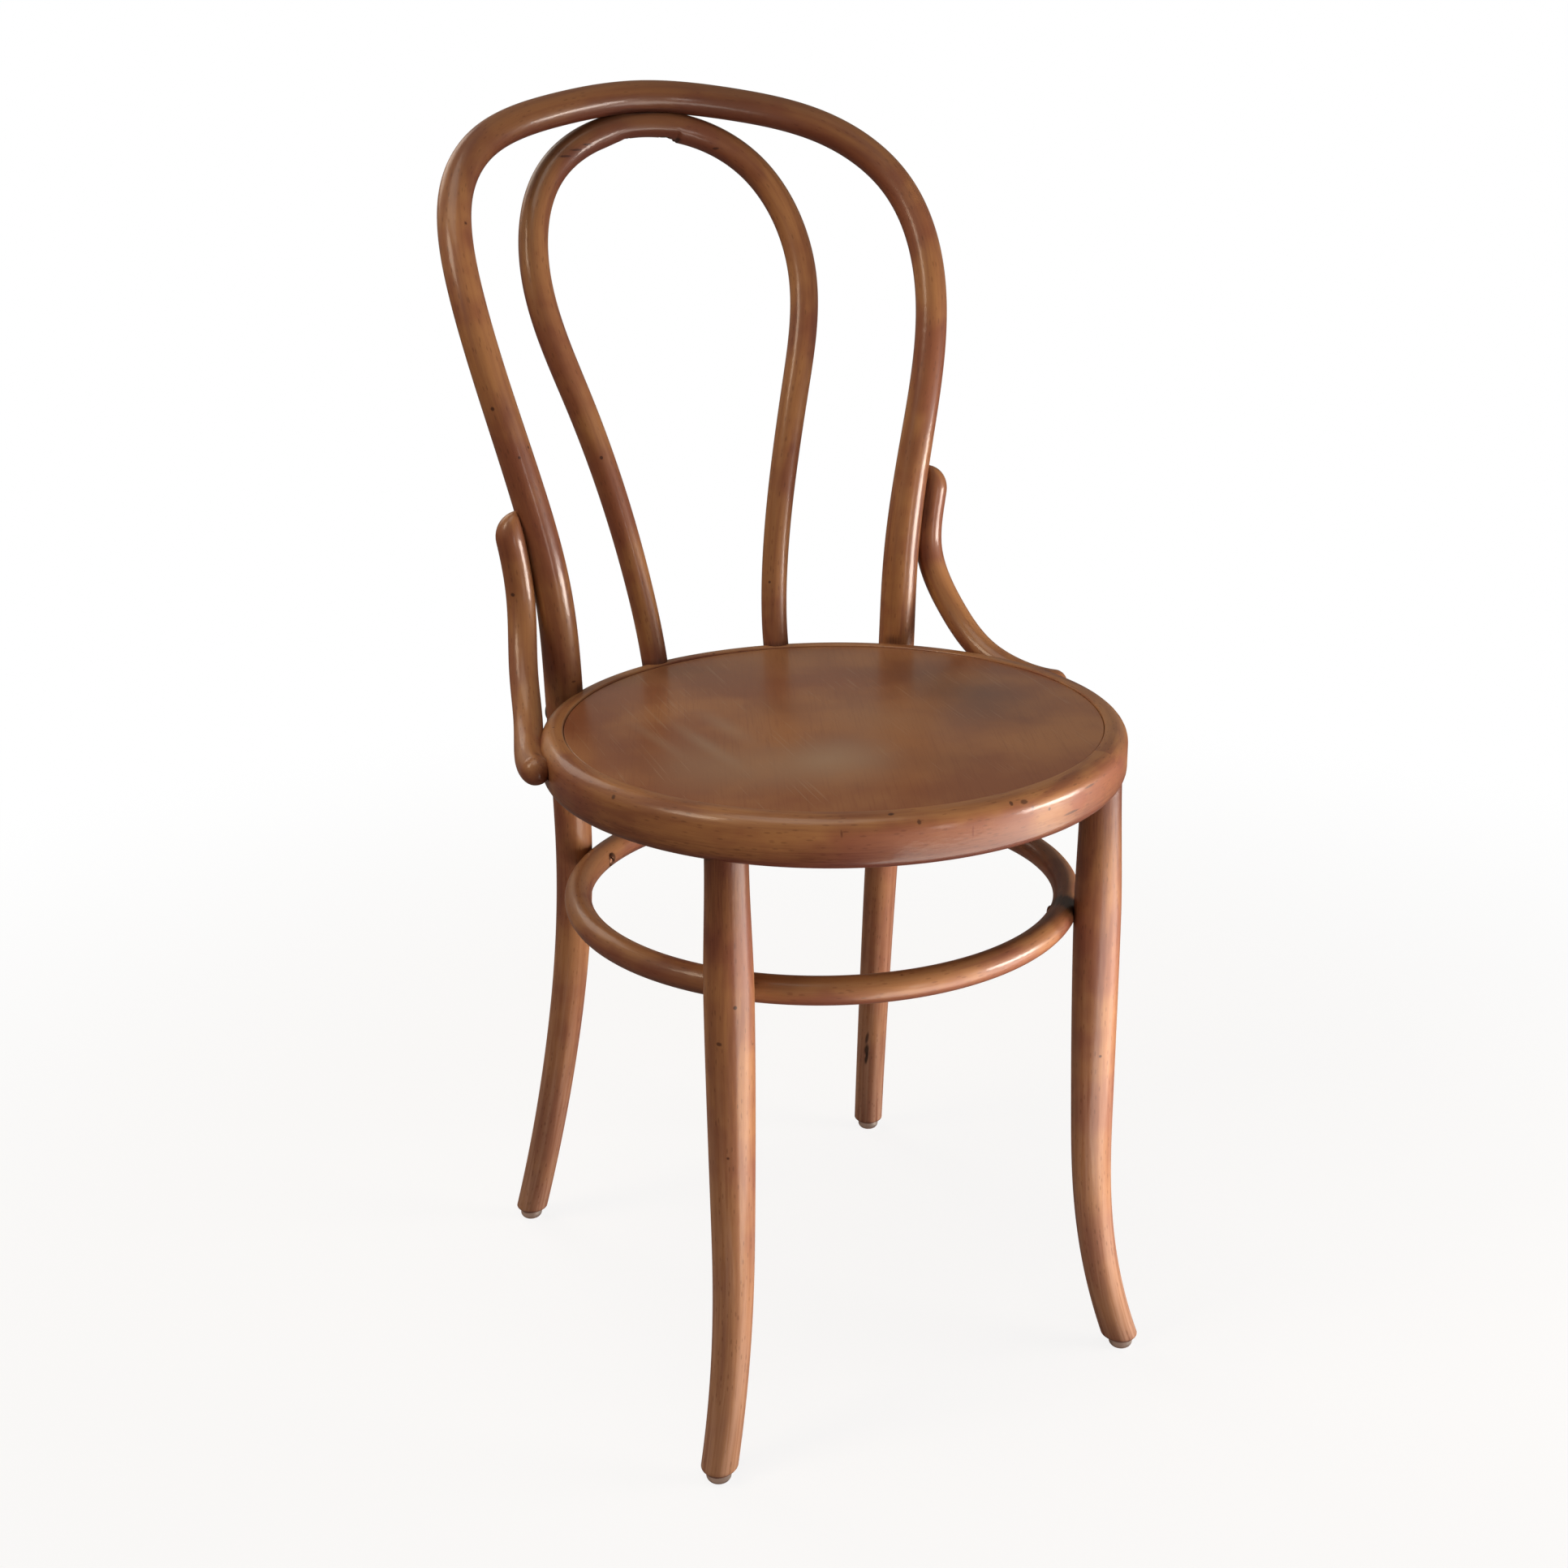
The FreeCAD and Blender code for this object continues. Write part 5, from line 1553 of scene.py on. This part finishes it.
@dataclass
class RingScrews:
    """The slotted round-head screws that hold the leg ring to the four legs."""

    ring: LegRing
    head_radius: float = 4.8
    head_height: float = 3.0
    head_round: float = 2.6
    shank_radius: float = 2.2
    length: float = 34.0
    slot_width: float = 1.2
    slot_depth: float = 1.6
    slot_turns: tuple[float, ...] = (20.0, 75.0, 130.0, 45.0)
    sides: int = 32

    def screw(self, finish: Material) -> Object:
        """Turn one screw at the origin, its head's underside at height 0, and saw its slot.

        Args:
            finish: The material.

        Returns:
            The screw.
        """
        high = self.head_height
        outline = rounded([
            (0.0, -high, 0.0),
            (self.head_radius, -high, self.head_round),
            (self.head_radius, 0.0, 0.0),
            (self.shank_radius, 0.0, 0.0),
            (self.shank_radius, self.length, 0.0),
            (0.0, self.length, 0.0),
        ], 6, False)
        screw = turned("ring_screw", outline, self.sides, finish, False, AXIS)
        wide, far, deep = self.slot_width / 2.0, 2.0 * self.head_radius, self.slot_depth - high
        corners = [(x, y, z) for z in (-2.0 * high, deep)
                   for x, y in ((-far, -wide), (far, -wide), (far, wide), (-far, wide))]
        faces = [(3, 2, 1, 0), (4, 5, 6, 7)]
        faces += [(step, (step + 1) % 4, (step + 1) % 4 + 4, step + 4) for step in range(4)]
        return cut_away(screw, new_mesh_object("ring_screw_saw", np.array(corners) + AXIS, faces))

    @staticmethod
    def tree() -> NodeTree:
        """Return the tree that sets one screw on each point, turned as the point says.

        Returns:
            The tree.
        """
        takes = {"Points": "Geometry", "Screw": "Object", "Finish": "Material"}
        tree, source = new_tree("screw_on_each_point", takes, "Screws")
        turn = add(tree, "GeometryNodeInputNamedAttribute", {"Name": "screw_turn"}, "Attribute",
                   data_type="FLOAT_VECTOR")
        facing = add(tree, "FunctionNodeEulerToRotation", {"Euler": turn}, "Rotation")
        screw = add(tree, "GeometryNodeObjectInfo", {"Object": source["Screw"]}, "Geometry")
        set_out = add(tree, "GeometryNodeInstanceOnPoints",
                      {"Points": source["Points"], "Instance": screw, "Rotation": facing}, "Instances")
        end_tree(tree, set_out, source["Finish"], "Screws")
        return tree

    def build(self, finish: Material) -> Object:
        """Set the four screws into the inside of the leg ring, each with its slot at its own angle.

        Args:
            finish: The material.

        Returns:
            The four screws as one piece.
        """
        turns = []
        for angle, slot_turn in zip(self.ring.plan.ring_joints, self.slot_turns):
            outward = Vector(polar(1.0, angle, 0.0)).to_track_quat("Z", "Y")
            turns.append(tuple((outward @ Quaternion((0.0, 0.0, 1.0), math.radians(slot_turn))).to_euler()))
        piece = new_mesh_object("slotted_ring_screws", np.array(self.ring.screw_seats()), [])
        write_values(piece.data, "screw_turn", np.array(turns))
        screw = self.screw(finish)
        grow(piece, self.tree(), {"Screw": screw, "Finish": finish})
        bpy.data.objects.remove(screw)
        return piece


# Studio


@dataclass(frozen=True)
class Lamp:
    """A soft lamp: where it stands and looks, its size in metres, its power, colour and spread."""

    name: str
    place: tuple[float, float, float]
    target: tuple[float, float, float]
    size: tuple[float, float]
    power: float
    colour: str
    spread: float = 180.0

    def build(self) -> None:
        """Hang the lamp, unseen by the camera itself."""
        light = bpy.data.lights.new(self.name, "AREA")
        light.shape = "RECTANGLE"
        light.size, light.size_y = self.size
        light.energy = self.power
        light.spread = math.radians(self.spread)
        light.color = linear(self.colour)[:3]
        lamp = bpy.data.objects.new(self.name, light)
        way = Vector(self.place) - Vector(self.target)
        turn = way.to_track_quat("Z", "Y").to_matrix().to_4x4()
        lamp.matrix_world = Matrix.Translation(self.place) @ turn
        lamp.visible_camera = False
        bpy.context.scene.collection.objects.link(lamp)


@dataclass
class Studio:
    """The pale floor, the lamps and the camera at the photograph's angle."""

    azimuth: float = -28.1
    distance: float = 1.3264
    height: float = 0.8912
    yaw: float = 1.6
    pitch: float = 19.5
    roll: float = -0.8
    lens: float = 47.11
    lens: float = 47.11
    sensor: float = 36.0
    farthest: float = 50.0
    shift: tuple[float, float] = (0.0031, -0.0016)
    floor_half: float = 9000.0
    fade: tuple[float, float] = (0.45, 1.5)
    near_white: float = 0.85
    matt: float = 0.9
    paper: str = "#FFFFFF"
    near_paper: str = "#F2F2F2"
    room: str = "#94807A"
    walls: str = "#FFF1E2"
    room_light: float = 0.215
    lamps: tuple[Lamp, ...] = (
        Lamp("ceiling_softbox", (-0.8, -0.4, 4.4), (0.0, 0.0, 0.4), (2.6, 2.6), 50.0, "#FFF4E6"),
        Lamp("left_window", (-1.75, -0.1, 1.95), (0.0, 0.1, 0.7), (0.7, 0.8), 4.0, "#FFE8CC", 85.0),
        Lamp("right_window", (1.5, -1.05, 0.24), (0.0, 0.0, 0.16), (0.9, 0.4), 7.4, "#FFF1E6", 70.0),
        Lamp("front_window", (0.45, -2.4, 0.36), (0.0, 0.0, 0.5), (0.3, 0.6), 4.6, "#FFEFE6"),
        Lamp("back_window", (-0.7, 2.3, 1.9), (0.0, 0.0, 0.4), (1.4, 1.2), 11.0, "#FFF0E0"),
        Lamp("sunlit_floor", (0.45, -0.85, 0.01), (0.45, -0.85, 1.0), (1.1, 0.9), 17.0, "#FFF1E4"),
    )

    def camera(self) -> None:
        """Set the camera where the photograph was taken from."""
        data = bpy.data.cameras.new("photo_camera")
        data.sensor_width, data.lens, data.clip_end = self.sensor, self.lens, self.farthest
        data.shift_x, data.shift_y = self.shift
        up = Vector((0.0, 0.0, 1.0))
        azimuth, yaw = math.radians(self.azimuth), math.radians(self.yaw)
        pitch, roll = math.radians(self.pitch), math.radians(self.roll)
        ahead = Vector((-math.sin(azimuth), math.cos(azimuth), 0.0))
        left = Vector((-ahead.y, ahead.x, 0.0))
        turned_ahead = ahead * math.cos(yaw) + left * math.sin(yaw)
        gaze = turned_ahead * math.cos(pitch) - up * math.sin(pitch)
        right = gaze.cross(up).normalized()
        above = right.cross(gaze)
        tilted_right = right * math.cos(roll) + above * math.sin(roll)
        tilted_above = above * math.cos(roll) - right * math.sin(roll)
        place = Vector((self.distance * math.sin(azimuth),
                        -self.distance * math.cos(azimuth) - SET_BACK * MM, self.height))
        camera = bpy.data.objects.new("photo_camera", data)
        axes = Matrix((tilted_right, tilted_above, -gaze)).transposed().to_4x4()
        camera.matrix_world = Matrix.Translation(place) @ axes
        bpy.context.scene.collection.objects.link(camera)
        bpy.context.scene.camera = camera

    def floor(self) -> None:
        """Lay white paper that takes the chair's soft shadow and fades into the white room.

        The light that it throws back on the chair is that of a darker, warmer floor.
        """
        half = self.floor_half
        corners = [(-half, -half, 0.0), (half, -half, 0.0), (half, half, 0.0), (-half, half, 0.0)]
        floor = new_mesh_object("studio_floor", np.array(corners), [(0, 1, 2, 3)])
        paper = Shades("matt_white_paper")
        seen = add(paper.tree, "ShaderNodeLightPath", None, "Is Camera Ray")
        paper.finished(Base_Color=paper.laid(linear(self.room), self.near_paper, seen), Roughness=self.matt)
        away = add(paper.tree, "ShaderNodeVectorMath", {0: paper.body}, "Value", operation="LENGTH")
        far = add(paper.tree, "ShaderNodeMapRange",
                  {"Value": away, "From Min": self.fade[0], "From Max": self.fade[1],
                   "To Min": self.near_white}, interpolation_type="SMOOTHSTEP")
        fade = add(paper.tree, "ShaderNodeMath", {0: far, 1: seen}, operation="MULTIPLY")
        glow = add(paper.tree, "ShaderNodeEmission", {"Color": linear(self.paper), "Strength": 1.0})
        both = add(paper.tree, "ShaderNodeMixShader", {0: fade, 1: paper.shader.outputs[0], 2: glow})
        paper.tree.links.new(both, paper.tree.nodes["Material Output"].inputs["Surface"])
        floor.data.materials.append(paper.made)

    def world(self) -> None:
        """Fill the room: white where the camera looks past the chair, softer where it lights it."""
        world = bpy.data.worlds.new("studio_room")
        world.use_nodes = True
        back = world.node_tree.nodes["Background"]
        sight = add(world.node_tree, "ShaderNodeLightPath", None, "Is Camera Ray")
        level = add(world.node_tree, "ShaderNodeMapRange", {"Value": sight, "To Min": self.room_light})
        tint = add(world.node_tree, "ShaderNodeMix",
                   {0: sight, 6: linear(self.walls), 7: linear(self.paper)}, 2, data_type="RGBA")
        world.node_tree.links.new(tint, back.inputs["Color"])
        world.node_tree.links.new(level, back.inputs["Strength"])
        bpy.context.scene.world = world

    def build(self) -> None:
        """Lay the floor, light the room and set the camera, with colours shown as they are."""
        bpy.context.scene.view_settings.view_transform = "Standard"
        self.floor()
        self.world()
        for lamp in self.lamps:
            lamp.build()
        self.camera()


def place_piece(piece: Object, node: str) -> None:
    """Hang a piece on the chair's body in place of its node.

    Args:
        piece: The finished piece.
        node: The node that it stands for.
    """
    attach(piece, "root")
    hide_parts(node)
    log.info("%s: %d faces for %s", piece.name, len(piece.data.polygons), node)


def dress_node(name: str, finish: Material) -> None:
    """Give a CAD node a better finish.

    Args:
        name: The node's name.
        finish: The material for all of its slots.
    """
    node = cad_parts[name]
    for slot in node.material_slots:
        slot.material = finish
    log.info("%s: keeps its own mesh, in %s", name, finish.name)


def main() -> None:
    """Build the chair's pieces in order and light them."""
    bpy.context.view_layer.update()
    Studio().build()
    plan, sweep, beech = ChairPlan(), RodSweep(), VarnishedBeech()
    hoop, loop, legs, brackets = BackHoop(plan), InnerLoop(plan), FrontLegs(plan), SideBrackets(plan)
    seat, ring = Seat(plan), LegRing(plan)

    place_piece(hoop.build(sweep, beech.material("shellacked_beech_hoop", hoop.marks)), "back_hoop")
    place_piece(loop.build(sweep, beech.material("shellacked_beech_loop", loop.marks)), "inner_loop")
    leg_finish = beech.material("shellacked_beech_legs", legs.marks)
    bracket_finish = beech.material("shellacked_beech_brackets", brackets.marks)
    for side in Side:
        word = side.name.lower()
        place_piece(legs.build(sweep, side, leg_finish), "front_leg_" + word)
        place_piece(brackets.build(sweep, hoop, side, bracket_finish), "side_bracket_" + word)
    place_piece(seat.ring(beech.material("shellacked_beech_seat_ring", seat.ring_marks)), "seat_ring")
    plywood = WornPlywood().material("stained_plywood_worn", seat.panel_marks)
    place_piece(seat.panel(plywood), "seat_panel")
    place_piece(ring.build(beech.material("shellacked_beech_leg_ring", ring.marks)), "leg_ring")

    steel = Metal("#77706A", 0.42).material("aged_steel")
    nickel = Metal("#EFECE7", 0.28).material("nickel_plated_steel")
    browned = Metal("#7D5C48", 0.4).material("steel_browned_by_old_varnish")
    place_piece(RingScrews(ring).build(browned), "leg_ring_screws")
    for name in ("rear_leg_bolts", "rear_leg_washers", "rear_leg_nuts", "inner_loop_screws",
                 "bracket_screws", "front_leg_screws"):
        dress_node(name, steel)
    dress_node("bracket_dowels", RawBeech().material("raw_beech_dowel"))
    for end in ("front", "rear"):
        for side in Side:
            dress_node("foot_glide_%s_%s" % (end, side.name.lower()), nickel)


if __name__ == "__main__":
    main()
